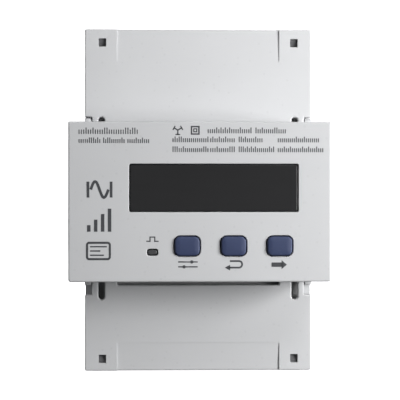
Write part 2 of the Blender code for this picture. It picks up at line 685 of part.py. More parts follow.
def connector(name, sign, screws, low_x):
    """Pluggable connector body with a screw well and a wire hole for each way."""
    end = end_of(sign)
    shelf = end - WALL - GAP
    side = [
        (PLUG_Y[0], PLUG_INNER),
        (PLUG_Y[0], shelf - PLUG_STEP[1]),
        (PLUG_STEP[0], shelf - PLUG_STEP[1]),
        (PLUG_STEP[0], shelf),
        (NOSE_Y[0], shelf),
        (NOSE_Y[0], end),
        (PLUG_Y[1], end),
        (PLUG_Y[1], PLUG_INNER),
    ]
    body = prism([(y, sign * z) for y, z in side], "X", low_x, BLOCK_X)
    cuts = []
    screw_z = end - SMALL_SCREW_INSET
    for x in screws:
        well = (PLUG_Y[0] - PAST, SMALL_SCREW_Y[1] + GAP)
        cuts.append(rod(SMALL_SCREW_RADIUS + GAP, *well, (x, 0, sign * screw_z), steps=12))
        span = (x - SMALL_ENTRY, x + SMALL_ENTRY)
        cuts.append(end_box(sign, span, SMALL_ENTRY_Y, screw_z - 3, end + PAST))
    piece(name, body, "green_plastic", cuts=cuts)


def small_screws():
    """Slotted screws of the two connectors."""
    x = DATA_SCREWS[0]
    z = TOP_Z - SMALL_SCREW_INSET
    low, high = SMALL_SCREW_Y
    profile = [(0, low), (SMALL_SCREW_RADIUS, low), (SMALL_SCREW_RADIUS, high - 0.4)]
    profile += [(SMALL_SCREW_RADIUS - 0.4, high), (0, high)]
    reach, half, depth = SMALL_SLOT
    slot = box((x - reach, low - PAST, z - half), (x + reach, low + depth, z + half))
    first = turned(profile, (x, 0, z), steps=16)
    screw = piece("data_screw_1", first, "zinc_steel", origin=(x, low, z), cuts=[slot])
    again("data_screw_2", screw, "zinc_steel", (DATA_SCREWS[1] - x, 0, 0))
    drop = BOTTOM_Z - TOP_Z + 2 * SMALL_SCREW_INSET
    for i, place in enumerate(SENSOR_SCREWS, 1):
        again(f"sensor_screw_{i}", screw, "zinc_steel", (place - x, 0, drop))


def bars():
    """Copper bars: three run from a lower clamp to an upper one, the neutral stops inside."""
    reach = CAGE[1] - 0.4
    top = TOP_Z - CLAMP_INSET + reach
    bottom = BOTTOM_Z + CLAMP_INSET - reach
    for i, x in enumerate(CLAMP_X[:3], 1):
        strip = box((x - BAR_X, BAR_Y[0], bottom), (x + BAR_X, BAR_Y[1], top))
        piece(f"phase_bar_{i}", strip, "copper")
    x = CLAMP_X[3]
    strip = box((x - BAR_X, BAR_Y[0], NEUTRAL_END_Z), (x + BAR_X, BAR_Y[1], top))
    half, tab_top = NEUTRAL_TAB
    tab = box((x - half, BAR_Y[0], NEUTRAL_END_Z), (x + half, MAIN_BOARD_Y[0] - GAP, tab_top))
    piece("neutral_bar", strip, "copper", adds=[tab])


def rail_clip():
    """Spring clip with a wedge nose, wings that hold it in its slot, and a tool slot."""
    nose = HOOK_Z
    side = [
        (HOOK_Y, -nose),
        (HOOK_Y + 0.8, -nose),
        (CLIP_BACK_Y, -nose - 2.6),
        (CLIP_BACK_Y, CLIP_END_Z),
        (HOOK_Y, CLIP_END_Z),
    ]
    body = prism(side, "X", -CLIP_X, CLIP_X)
    wings = box((-CLIP_WING_X, HOOK_Y, WING_Z[0]), (CLIP_WING_X, CLIP_WING_Y, WING_Z[1]))
    near, far = HOOK_Y - PAST, CLIP_BACK_Y + PAST
    window = box((-CLIP_WINDOW_X, near, CLIP_WINDOW_Z[0]), (CLIP_WINDOW_X, far, CLIP_WINDOW_Z[1]))
    tool = box((-TOOL_SLOT_X, near, TOOL_SLOT_Z[0]), (TOOL_SLOT_X, far, TOOL_SLOT_Z[1]))
    piece("rail_clip", body, "black_plastic", origin=(0, 0, -nose), adds=[wings], cuts=[window, tool])


def rail_clip_spring():
    """Coil spring between the base's peg and the top of the clip's window."""
    low = PEG_Z[1] + GAP + SPRING_WIRE
    high = CLIP_WINDOW_Z[1] - GAP - SPRING_WIRE
    curve = bpy.data.curves.new("rail_clip_spring", "CURVE")
    curve.dimensions = "3D"
    curve.bevel_depth = SPRING_WIRE * MM
    curve.bevel_resolution = 1
    curve.use_fill_caps = True
    line = curve.splines.new("POLY")
    line.points.add(SPRING_STEPS)
    for i, point in enumerate(line.points):
        share = i / SPRING_STEPS
        angle = math.tau * SPRING_TURNS * share
        x = SPRING_RADIUS * math.cos(angle)
        y = SPRING_Y + SPRING_RADIUS * math.sin(angle)
        point.co = (x * MM, y * MM, (high - low) * share * MM, 1.0)
    thing = bpy.data.objects.new("rail_clip_spring", curve)
    thing.location = (0, 0, low * MM)
    curve.materials.append(finish_material("rail_clip_spring", "zinc_steel"))
    bpy.context.collection.objects.link(thing)


def display_stack():
    """LCD glass in its holder, and the board behind it with the indicator lamp."""
    low, high = LCD_SPAN
    piece("lcd_glass", box(low, high), "lcd_glass")
    holder_low = (HOLDER_X[0], HOLDER_FRONT_Y, HOLDER_Z[0])
    holder = box(holder_low, (HOLDER_X[1], DISPLAY_BOARD_Y[0] - GAP, HOLDER_Z[1]))
    pocket_low = (low[0] - GAP, HOLDER_FRONT_Y - PAST, low[2] - GAP)
    pocket = box(pocket_low, (high[0] + GAP, high[1] + GAP, high[2] + GAP))
    piece("lcd_holder", holder, "white_plastic", cuts=[pocket, box(*HOLDER_LIGHT)])
    x, z = BOARD_X[0], BOARD_Z[0]
    board = box((-x, DISPLAY_BOARD_Y[0], -z), (x, DISPLAY_BOARD_Y[1], z))
    piece("display_circuit_board", board, "board")
    x, z = PIPE_CENTRE
    lamp = box((x - 1.5, LAMP_Y[0], z - 1.0), (x + 1.5, LAMP_Y[1], z + 1.0))
    piece("pulse_led", lamp, "led_red")


def main_board_parts():
    """Main board with its transformer, capacitor, chip and link, and the current transformers."""
    near, far = MAIN_BOARD_Y
    front = near - GAP
    x, z = BOARD_X[1], BOARD_Z[1]
    piece("main_circuit_board", box((-x, near, -z), (x, far, z)), "board")
    low, (x, z) = CORE
    core = box(low, (x, front, z))
    low, (x, z) = BOBBIN
    bobbin = box(low, (x, front - 3.0, z))
    piece("power_transformer", core, "black_plastic", adds=[bobbin])
    x, z = CAN_CENTRE
    profile = [(0, CAN_FRONT_Y), (CAN_RADIUS - 0.4, CAN_FRONT_Y), (CAN_RADIUS, CAN_FRONT_Y + 0.4)]
    profile += [(CAN_RADIUS, front), (0, front)]
    piece("storage_capacitor", turned(profile, (x, 0, z), steps=24), "sleeve")
    low, (x, z) = CHIP
    piece("metering_chip", box(low, (x, front, z)), "black_plastic")
    link_low = (LINK_X[0], DISPLAY_BOARD_Y[1] + GAP, LINK_Z[0])
    link = box(link_low, (LINK_X[1], front, LINK_Z[1]))
    piece("board_link", link, "white_plastic")
    inner, outer, half = TRANSFORMER_RING
    ring = [(inner, -half), (outer, -half), (outer, half), (inner, half)]
    middle = sum(BAR_Y) / 2
    first = turned(ring, (CLAMP_X[0], middle, 0), "Z", 24, ring=True)
    toroid = piece("current_transformer_1", first, "black_plastic", origin=(CLAMP_X[0], middle, 0))
    for i, x in enumerate(CLAMP_X[1:3], 2):
        again(f"current_transformer_{i}", toroid, "black_plastic", (x - CLAMP_X[0], 0, 0))


def main():
    """Build every piece of the meter."""
    clear_scene()
    base_case()
    front_housing()
    display_window()
    pulse_light_pipe()
    keys()
    cover("upper_terminal_cover", 1, 24.8, 24.8, 46.6, 41.1, None)
    cover("lower_terminal_cover", -1, 27.3, 28.7, 46.0, 41.3, 24.5)
    terminal_block("upper_terminal_block", 1, CLAMP_X, 21.9)
    terminal_block("lower_terminal_block", -1, CLAMP_X[:3], 9.2)
    clamps()
    connector("data_connector", 1, DATA_SCREWS, 21.9)
    connector("sensor_connector", -1, SENSOR_SCREWS, 9.2)
    small_screws()
    bars()
    rail_clip()
    rail_clip_spring()
    display_stack()
    main_board_parts()


main()
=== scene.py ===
"""Looks of a four-module, rail-mounted electricity meter with hinged terminal covers.

Sizes are in millimetres, in the meter's own frame: x to the right across the front panel,
y backwards into the rail, z upwards, with the panel's face at y = -60. Skin.build turns them
into metres.
"""

import logging
import math
from dataclasses import dataclass, field
from enum import Enum
from typing import Any, Sequence

import bmesh
import bpy
import numpy as np
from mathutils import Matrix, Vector
from mathutils.geometry import delaunay_2d_cdt


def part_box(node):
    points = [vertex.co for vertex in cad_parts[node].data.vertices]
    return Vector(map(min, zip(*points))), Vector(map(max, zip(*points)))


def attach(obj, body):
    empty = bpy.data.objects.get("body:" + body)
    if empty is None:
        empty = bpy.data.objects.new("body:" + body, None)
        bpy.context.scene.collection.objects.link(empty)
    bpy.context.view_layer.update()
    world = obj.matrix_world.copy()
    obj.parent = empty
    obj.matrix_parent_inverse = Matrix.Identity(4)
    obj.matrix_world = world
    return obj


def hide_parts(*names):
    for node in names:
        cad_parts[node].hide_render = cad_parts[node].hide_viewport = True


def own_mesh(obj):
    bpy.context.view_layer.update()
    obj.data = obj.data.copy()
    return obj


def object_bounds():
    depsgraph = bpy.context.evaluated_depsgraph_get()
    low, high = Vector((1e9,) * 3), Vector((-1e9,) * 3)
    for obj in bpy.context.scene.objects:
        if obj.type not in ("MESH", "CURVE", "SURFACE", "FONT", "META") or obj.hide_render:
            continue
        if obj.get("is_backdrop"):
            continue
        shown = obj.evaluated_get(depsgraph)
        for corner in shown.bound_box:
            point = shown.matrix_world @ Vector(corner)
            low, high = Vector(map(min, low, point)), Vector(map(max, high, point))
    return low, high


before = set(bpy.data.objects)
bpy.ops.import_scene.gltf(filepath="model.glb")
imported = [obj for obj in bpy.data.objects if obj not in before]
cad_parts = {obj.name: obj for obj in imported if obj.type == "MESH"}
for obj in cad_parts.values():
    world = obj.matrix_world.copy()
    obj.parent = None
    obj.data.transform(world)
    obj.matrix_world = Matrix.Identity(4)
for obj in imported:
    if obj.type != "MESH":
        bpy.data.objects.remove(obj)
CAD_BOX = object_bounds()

log = logging.getLogger("meter")

MM = 0.001
WELD = 2e-6  # metres between points that are one
SHARP = math.radians(38)  # edges that turn further than this stay sharp
ROUNDED = math.radians(50)  # edges of a CAD copy that turn further than this are rounded
QUARTER = math.pi / 2
PHASES = (1, 2, 3)

Colour = tuple[float, float, float]
Place = tuple[float, float, float]
Array = np.ndarray


# ---------------------------------------------------------------- shaders


class Value:
    """A socket of a shader, with arithmetic that adds Math nodes."""

    def __init__(self, shader: "Shader", socket: bpy.types.NodeSocket) -> None:
        """Keep the socket and the shader that it belongs to."""
        self.shader = shader
        self.socket = socket

    def math(self, operation: str, first: Any, second: Any, clamp: bool = False) -> "Value":
        """Add one Math node and return its result, held between 0 and 1 if clamp is set."""
        settings = {"operation": operation, "use_clamp": clamp}
        return self.shader.node("ShaderNodeMath", settings, {0: first, 1: second})

    def __add__(self, other: Any) -> "Value":
        """Sum."""
        return self.math("ADD", self, other)

    def __radd__(self, other: Any) -> "Value":
        """Sum, with the number first."""
        return self.math("ADD", other, self)

    def __sub__(self, other: Any) -> "Value":
        """Difference."""
        return self.math("SUBTRACT", self, other)

    def __rsub__(self, other: Any) -> "Value":
        """Difference, with the number first."""
        return self.math("SUBTRACT", other, self)

    def __mul__(self, other: Any) -> "Value":
        """Product."""
        return self.math("MULTIPLY", self, other)

    def above(self, level: float, soft: float) -> "Value":
        """A mask that rises from 0 at level to 1 at level + soft, and is held there."""
        return self.math("MULTIPLY", self - level, 1.0 / soft, clamp=True)


class Shader:
    """One node material, built round a Principled surface."""

    def __init__(self, name: str) -> None:
        """Start an empty material of that name."""
        self.material = bpy.data.materials.new(name)
        self.material.use_nodes = True
        self.tree = self.material.node_tree
        self.surface = self.tree.nodes["Principled BSDF"]
        self.place = self.node("ShaderNodeTexCoord", output="Object")

    def feed(self, socket: bpy.types.NodeSocket, value: Any) -> None:
        """Link a Value to a socket, or set a plain number or colour on it."""
        if isinstance(value, Value):
            self.tree.links.new(value.socket, socket)
        elif isinstance(value, tuple) and len(value) == 3 and socket.type == "RGBA":
            socket.default_value = (*value, 1.0)
        else:
            socket.default_value = value

    def node(
        self,
        kind: str,
        settings: dict[str, Any] | None = None,
        inputs: dict[Any, Any] | None = None,
        output: int | str = 0,
    ) -> Value:
        """Add a node of any kind.

        Args:
            kind: The node's type.
            settings: Its properties.
            inputs: Numbers, colours or Values by socket name or number.
            output: The socket that is returned.

        Returns:
            That output.
        """
        made = self.tree.nodes.new(kind)
        for key, value in (settings or {}).items():
            setattr(made, key, value)
        for key, value in (inputs or {}).items():
            self.feed(made.inputs[key], value)
        return Value(self, made.outputs[output])

    def mapped(self, stretch: Place) -> Value:
        """Object coordinates multiplied by one number for each axis."""
        return self.node("ShaderNodeMapping", inputs={"Vector": self.place, "Scale": stretch})

    def upright(self) -> Value:
        """Object coordinates turned a quarter, so that flat patterns stand up."""
        inputs = {"Vector": self.place, "Rotation": (QUARTER, 0.0, 0.0)}
        return self.node("ShaderNodeMapping", inputs=inputs)

    def noise(self, size: float, detail: float = 2.0, along: Value | None = None) -> Value:
        """Cloudy noise whose features are about size millimetres across."""
        inputs = {"Vector": along or self.place, "Scale": 1.0 / (size * MM), "Detail": detail}
        return self.node("ShaderNodeTexNoise", inputs=inputs)

    def cells(self, size: float) -> Value:
        """Distance from the nearest of scattered points about size millimetres apart."""
        inputs = {"Vector": self.place, "Scale": 1.0 / (size * MM)}
        return self.node("ShaderNodeTexVoronoi", inputs=inputs)

    def mix(self, share: Any, first: Any, second: Any) -> Value:
        """Colour that goes from first to second as share goes from 0 to 1."""
        return self.node("ShaderNodeMix", {"data_type": "RGBA"}, {0: share, 6: first, 7: second}, 2)

    def tone(self, factor: Value, colour: Colour, low: float, high: float) -> Value:
        """A colour that goes from low to high times itself as the factor goes from 0 to 1."""
        return self.mix(factor, shade(colour, low), shade(colour, high))

    def bump(self, height: Value, depth: float) -> Value:
        """Normals of a surface whose height goes up to depth millimetres."""
        inputs = {"Height": height, "Distance": depth * MM, "Strength": 1.0}
        return self.node("ShaderNodeBump", inputs=inputs)

    def finish(self, **sockets: Any) -> bpy.types.Material:
        """Set the surface's sockets, named with _ for spaces, and return the material."""
        for key, value in sockets.items():
            self.feed(self.surface.inputs[key.replace("_", " ")], value)
        return self.material


def shade(colour: Colour, factor: float) -> Colour:
    """A colour made lighter or darker by a factor."""
    return (colour[0] * factor, colour[1] * factor, colour[2] * factor)


@dataclass(frozen=True)
class MouldedPlastic:
    """Injection-moulded plastic: a fine spark-eroded texture, faint flow clouding, a few specks."""

    colour: Colour
    roughness: float = 0.5
    specular: float = 0.35
    clouding: float = 0.025
    grain: float = 0.22
    relief: float = 0.006

    def dress(self, name: str) -> bpy.types.Material:
        """Make the material."""
        shader = Shader(name)
        cloud = shader.noise(16.0, 3.0)
        fine = shader.noise(self.grain, 2.0)
        flow = shader.noise(9.0, 2.0, shader.mapped((0.35, 1.0, 1.6)))
        tint = cloud * 0.45 + flow * 0.35 + fine * 0.2
        even = shader.tone(tint, self.colour, 1 - 2 * self.clouding, 1 + 2 * self.clouding)
        speck = (0.16 - shader.cells(2.4)).above(0.0, 0.04)
        coloured = shader.mix(speck * 0.10, even, shade(self.colour, 0.55))
        rough = self.roughness + (fine - 0.5) * 0.16 + (cloud - 0.5) * 0.08
        normal = shader.bump(fine, self.relief)
        return shader.finish(
            Base_Color=coloured, Roughness=rough, Specular_IOR_Level=self.specular, Normal=normal
        )


@dataclass(frozen=True)
class KeyRubber:
    """Satin silicone rubber with a dusting of lint in its fine texture."""

    colour: Colour
    roughness: float = 0.55

    def dress(self, name: str) -> bpy.types.Material:
        """Make the material."""
        shader = Shader(name)
        fine = shader.noise(0.12, 3.0)
        cloud = shader.noise(3.5, 2.0)
        even = shader.tone(cloud * 0.7 + fine * 0.3, self.colour, 0.88, 1.14)
        dust = shader.noise(0.5, 4.0).above(0.66, 0.10)
        coloured = shader.mix(dust * 0.16, even, (0.30, 0.31, 0.33))
        rough = self.roughness + (fine - 0.5) * 0.2 + dust * 0.15
        normal = shader.bump(fine, 0.006)
        return shader.finish(Base_Color=coloured, Roughness=rough, Specular_IOR_Level=0.4, Normal=normal)


@dataclass(frozen=True)
class TintedPane:
    """Near-black tinted clear plastic with a polished face, faint smears and ripples."""

    colour: Colour
    roughness: float = 0.14
    specular: float = 0.3

    def dress(self, name: str) -> bpy.types.Material:
        """Make the material."""
        shader = Shader(name)
        smear = shader.noise(7.0, 3.0, shader.mapped((0.3, 1.0, 1.0)))
        fine = shader.noise(0.6, 2.0)
        coloured = shader.tone(smear * 0.8 + fine * 0.2, self.colour, 0.86, 1.16)
        rough = self.roughness + smear.above(0.5, 0.4) * 0.10 + (fine - 0.5) * 0.04
        ripple = shader.bump(shader.noise(11.0, 1.0), 0.012)
        return shader.finish(
            Base_Color=coloured, Roughness=rough, Specular_IOR_Level=self.specular, Normal=ripple
        )


class Lay(Enum):
    """Which way the fine lines of a drawn or turned metal run."""

    ALONG_X = (0.06, 1.0, 1.0)
    ALONG_Z = (1.0, 1.0, 0.06)


@dataclass(frozen=True)
class PlatedMetal:
    """Plated or drawn metal: fine lines one way, cloudy tone, slightly duller patches."""

    colour: Colour
    lay: Lay
    roughness: float = 0.34
    patina: Colour = (0.30, 0.29, 0.27)

    def dress(self, name: str) -> bpy.types.Material:
        """Make the material."""
        shader = Shader(name)
        lines = shader.noise(0.10, 3.0, shader.mapped(self.lay.value))
        cloud = shader.noise(2.6, 4.0)
        even = shader.tone(lines * 0.5 + cloud * 0.5, self.colour, 0.84, 1.1)
        dull = cloud.above(0.54, 0.22)
        coloured = shader.mix(dull * 0.35, even, self.patina)
        rough = self.roughness + (lines - 0.5) * 0.22 + dull * 0.14
        normal = shader.bump(lines, 0.004)
        return shader.finish(Base_Color=coloured, Roughness=rough, Metallic=1.0, Normal=normal)


@dataclass(frozen=True)
class Laminate:
    """Circuit board: solder mask over glass cloth, copper tracks beneath it and tinned pads."""

    mask: Colour = (0.012, 0.085, 0.035)
    track: Colour = (0.03, 0.17, 0.07)
    pad: Colour = (0.55, 0.54, 0.50)

    def dress(self, name: str) -> bpy.types.Material:
        """Make the material."""
        shader = Shader(name)
        wide = self.tracks(shader, 160.0, 0.035)
        tight = self.tracks(shader, 420.0, 0.05)
        region = shader.noise(8.0, 1.0).above(0.48, 0.06)
        lines = wide * (1 - region) + tight * region
        pads = (0.22 - shader.cells(3.1)).above(0.0, 0.03)
        weave = shader.noise(0.35, 1.0, shader.mapped((1.0, 1.0, 0.3)))
        masked = shader.mix(lines, shader.mix(weave, shade(self.mask, 0.85), self.mask), self.track)
        coloured = shader.mix(pads, masked, self.pad)
        rough = 0.36 + weave * 0.12 - pads * 0.1
        normal = shader.bump(lines * 0.6 + pads, 0.03)
        return shader.finish(Base_Color=coloured, Roughness=rough, Metallic=pads * 0.9, Normal=normal)

    @staticmethod
    def tracks(shader: Shader, scale: float, width: float) -> Value:
        """Mask of thin straight lines that turn square corners, as the joints of bonded bricks do."""
        sizes = {"Scale": scale, "Mortar Size": width, "Mortar Smooth": 0.1}
        inputs = {"Vector": shader.upright(), **sizes}
        settings = {"offset": 0.37, "squash": 1.6, "squash_frequency": 3}
        return shader.node("ShaderNodeTexBrick", settings, inputs, "Fac")


@dataclass(frozen=True)
class PrintInk:
    """Pad-printed ink, slightly uneven in density."""

    colour: Colour = (0.055, 0.057, 0.062)

    def dress(self, name: str) -> bpy.types.Material:
        """Make the material."""
        shader = Shader(name)
        thin = shader.noise(0.25, 3.0)
        patch = shader.noise(4.0, 2.0)
        coloured = shader.tone(thin * 0.6 + patch * 0.4, self.colour, 0.75, 1.5)
        rough = 0.5 + thin * 0.2
        return shader.finish(
            Base_Color=coloured, Roughness=rough, Specular_IOR_Level=0.3, Normal=shader.bump(thin, 0.003)
        )


@dataclass(frozen=True)
class LampResin:
    """Tinted epoxy of an indicator lamp, with faint bubbles."""

    colour: Colour = (0.55, 0.03, 0.02)

    def dress(self, name: str) -> bpy.types.Material:
        """Make the material."""
        shader = Shader(name)
        haze = shader.noise(0.8, 3.0)
        bubbles = (0.12 - shader.cells(0.5)).above(0.0, 0.05)
        coloured = shader.tone(haze, self.colour, 0.8, 1.2)
        return shader.finish(
            Base_Color=shader.mix(bubbles * 0.5, coloured, (0.8, 0.25, 0.2)),
            Roughness=0.16 + haze * 0.1,
            Coat_Weight=0.4,
            Normal=shader.bump(haze, 0.004),
        )


@dataclass(frozen=True)
class DisplayGlass:
    """Grey-green liquid crystal cell with its faint, unlit seven-bar digits."""

    colour: Colour = (0.27, 0.31, 0.25)

    def dress(self, name: str) -> bpy.types.Material:
        """Make the material."""
        shader = Shader(name)
        haze = shader.noise(5.0, 2.0)
        sizes = {"Scale": 200.0, "Mortar Size": 0.06, "Brick Width": 0.9, "Row Height": 0.8}
        inputs = {"Vector": shader.upright(), **sizes}
        grid = shader.node("ShaderNodeTexBrick", {"offset": 0.0}, inputs, "Fac")
        cell = shader.tone(haze, self.colour, 0.92, 1.08)
        coloured = shader.mix(grid * 0.3, cell, shade(self.colour, 0.6))
        return shader.finish(Base_Color=coloured, Roughness=0.1 + haze * 0.06, Coat_Weight=0.3)


class Finish(Enum):
    """Every finish of the meter, by the record's name for its material slot."""

    GREY = ("grey_plastic", MouldedPlastic((0.60, 0.605, 0.615), 0.52))
    PALE = ("pale_plastic", MouldedPlastic((0.56, 0.565, 0.575), 0.46, grain=0.16, relief=0.004))
    KEY = ("blue_key", KeyRubber((0.034, 0.048, 0.110)))
    PANE = ("dark_lens", TintedPane((0.024, 0.024, 0.025)))
    PIPE = ("pipe_plastic", TintedPane((0.066, 0.067, 0.070), 0.3))
    BLACK = ("black_plastic", MouldedPlastic((0.028, 0.028, 0.030), 0.45, clouding=0.06))
    BLOCK = ("black_plastic", MouldedPlastic((0.26, 0.26, 0.265), 0.45, clouding=0.05))
    # painted shade: dark plastic for the sheets on the cover windows' floors, standing in for the shade
    # inside them
    LINER = ("black_plastic", MouldedPlastic((0.105, 0.105, 0.110), 0.5))
    GREEN = ("green_plastic", MouldedPlastic((0.035, 0.19, 0.07), 0.42, clouding=0.05))
    WHITE = ("white_plastic", MouldedPlastic((0.70, 0.70, 0.67), 0.45, clouding=0.02))
    ZINC = ("zinc_steel", PlatedMetal((0.62, 0.62, 0.60), Lay.ALONG_X))
    COPPER = ("copper", PlatedMetal((0.66, 0.34, 0.20), Lay.ALONG_Z, 0.32, (0.30, 0.13, 0.07)))
    BOARD = ("board", Laminate())
    GLASS = ("lcd_glass", DisplayGlass())
    LAMP = ("led_red", LampResin())
    SLEEVE = ("sleeve", TintedPane((0.02, 0.03, 0.075), 0.35))
    INK = ("pale_plastic", PrintInk())

    @property
    def slot(self) -> str:
        """The record's material slot."""
        return self.value[0]

    def dress(self, name: str) -> bpy.types.Material:
        """A material of this finish."""
        return self.value[1].dress(f"{name}_{self.name.lower()}")


# ---------------------------------------------------------------- shapes


class Plane(Enum):
    """How a drawing's two directions and its depth lie in the meter."""

    FRONT = "x across, z up, depth along y"
    UNDER = "x across, z down, depth along y"
    SIDE = "y across, z up, depth along x"
    FLAT = "x across, y up, depth along z"

    def place(self, across: Array, up: Array, depth: Array) -> Array:
        """Points in the meter from a drawing's coordinates."""
        across, up, depth = np.broadcast_arrays(across, up, depth)
        orders = {
            Plane.FRONT: (across, depth, up),
            Plane.UNDER: (across, depth, -up),
            Plane.SIDE: (depth, across, up),
            Plane.FLAT: (across, up, depth),
        }
        return np.stack(orders[self], axis=-1)


class Outline:
    """A closed drawing, anticlockwise, of straight sides with a round at each corner."""

    def __init__(self, corners: Sequence[Sequence[float]], rounds: Any = 0.0, steps: Any = 0) -> None:
        """Keep the corners.

        Args:
            corners: The points where the sides would meet.
            rounds: Radius of each corner, or one for all.
            steps: Number of chords in each corner's arc, or one for all. A corner of no radius
                and one chord is a point given twice, where a step can start.
        """
        self.corners = np.array(corners, float)
        count = len(self.corners)
        self.rounds = np.broadcast_to(np.array(rounds, float), count)
        self.steps = np.broadcast_to(np.array(steps, int), count)
        self.owner = np.repeat(np.arange(count), self.steps + 1)
        first = np.concatenate([[0], np.cumsum(self.steps + 1)[:-1]])
        self.number = np.arange(len(self.owner)) - first[self.owner]

    def ring(self, inset: float = 0.0) -> Array:
        """Points of the drawing, moved inwards.

        Each corner moves by inset along both its sides' normals, n0 and n1, which puts it at
        corner + inset (n0 + n1) / (1 + n0.n1). Its arc's radius shrinks by inset on an outer
        corner and grows on an inner one, and the arc starts radius tan(turn / 2) before it.

        Args:
            inset: How far inwards; negative is outwards.

        Returns:
            The points, always the same number of them.
        """
        before = self.corners - np.roll(self.corners, 1, axis=0)
        after = np.roll(before, -1, axis=0)
        before = before / np.linalg.norm(before, axis=1, keepdims=True)
        after = after / np.linalg.norm(after, axis=1, keepdims=True)
        normal = np.stack([-before[:, 1], before[:, 0]], axis=1)
        turned = np.stack([-after[:, 1], after[:, 0]], axis=1)
        share = 1.0 + np.sum(normal * turned, axis=1, keepdims=True)
        corner = self.corners + inset * (normal + turned) / share
        cross = before[:, 0] * after[:, 1] - before[:, 1] * after[:, 0]
        turn = np.arctan2(cross, np.sum(before * after, axis=1))
        side = np.where(turn < 0, -1.0, 1.0)
        radius = np.where(self.steps > 0, np.maximum(self.rounds - side * inset, 0.0), 0.0)
        radius = np.where((self.rounds == 0) & (np.abs(turn) < 1e-9), 0.0, radius)
        start = corner - (radius * np.tan(np.abs(turn) / 2))[:, None] * before
        centre = start + (side * radius)[:, None] * normal
        arm = (start - centre)[self.owner]
        angle = turn[self.owner] * self.number / np.maximum(self.steps[self.owner], 1)
        swung = np.stack(
            [
                np.cos(angle) * arm[:, 0] - np.sin(angle) * arm[:, 1],
                np.sin(angle) * arm[:, 0] + np.cos(angle) * arm[:, 1],
            ],
            axis=1,
        )
        return centre[self.owner] + swung


def rectangle(low: Sequence[float], high: Sequence[float], corner: float = 0.0, steps: int = 4) -> Outline:
    """Outline of a rectangle between two corners, with its own corners rounded."""
    corners = [(low[0], low[1]), (high[0], low[1]), (high[0], high[1]), (low[0], high[1])]
    return Outline(corners, corner, steps if corner else 0)


def circle(centre: Sequence[float], radius: float, steps: int = 32) -> Outline:
    """Outline of a circle, drawn as a square whose corners are rounded all the way."""
    low, high = np.array(centre) - radius, np.array(centre) + radius
    return rectangle(low, high, radius * 0.9999, steps // 4)


def rim(radius: float, steps: int = 4) -> tuple[Array, Array]:
    """A quarter round over an edge, from the face to the wall.

    At angle a it lies radius (1 - sin a) inside the wall and radius (1 - cos a) below the face.

    Returns:
        The insets and the drops.
    """
    angle = np.linspace(0.0, QUARTER, steps + 1)
    return radius * (1 - np.sin(angle)), radius * (1 - np.cos(angle))


def inside(points: Array, loops: Sequence[Array]) -> Array:
    """Whether each point is inside an odd number of the loops' crossings to its right."""
    found = np.zeros(len(points), bool)
    x, y = points[:, :1], points[:, 1:]
    for loop in loops:
        after = np.roll(loop, -1, axis=0)
        rise = after[:, 1] - loop[:, 1]
        spans = (loop[:, 1] > y) != (after[:, 1] > y)
        slope = (after[:, 0] - loop[:, 0]) / np.where(rise == 0, 1.0, rise)
        crossing = loop[:, 0] + (y - loop[:, 1]) * slope
        found ^= np.sum(spans & (x < crossing), axis=1) % 2 == 1
    return found


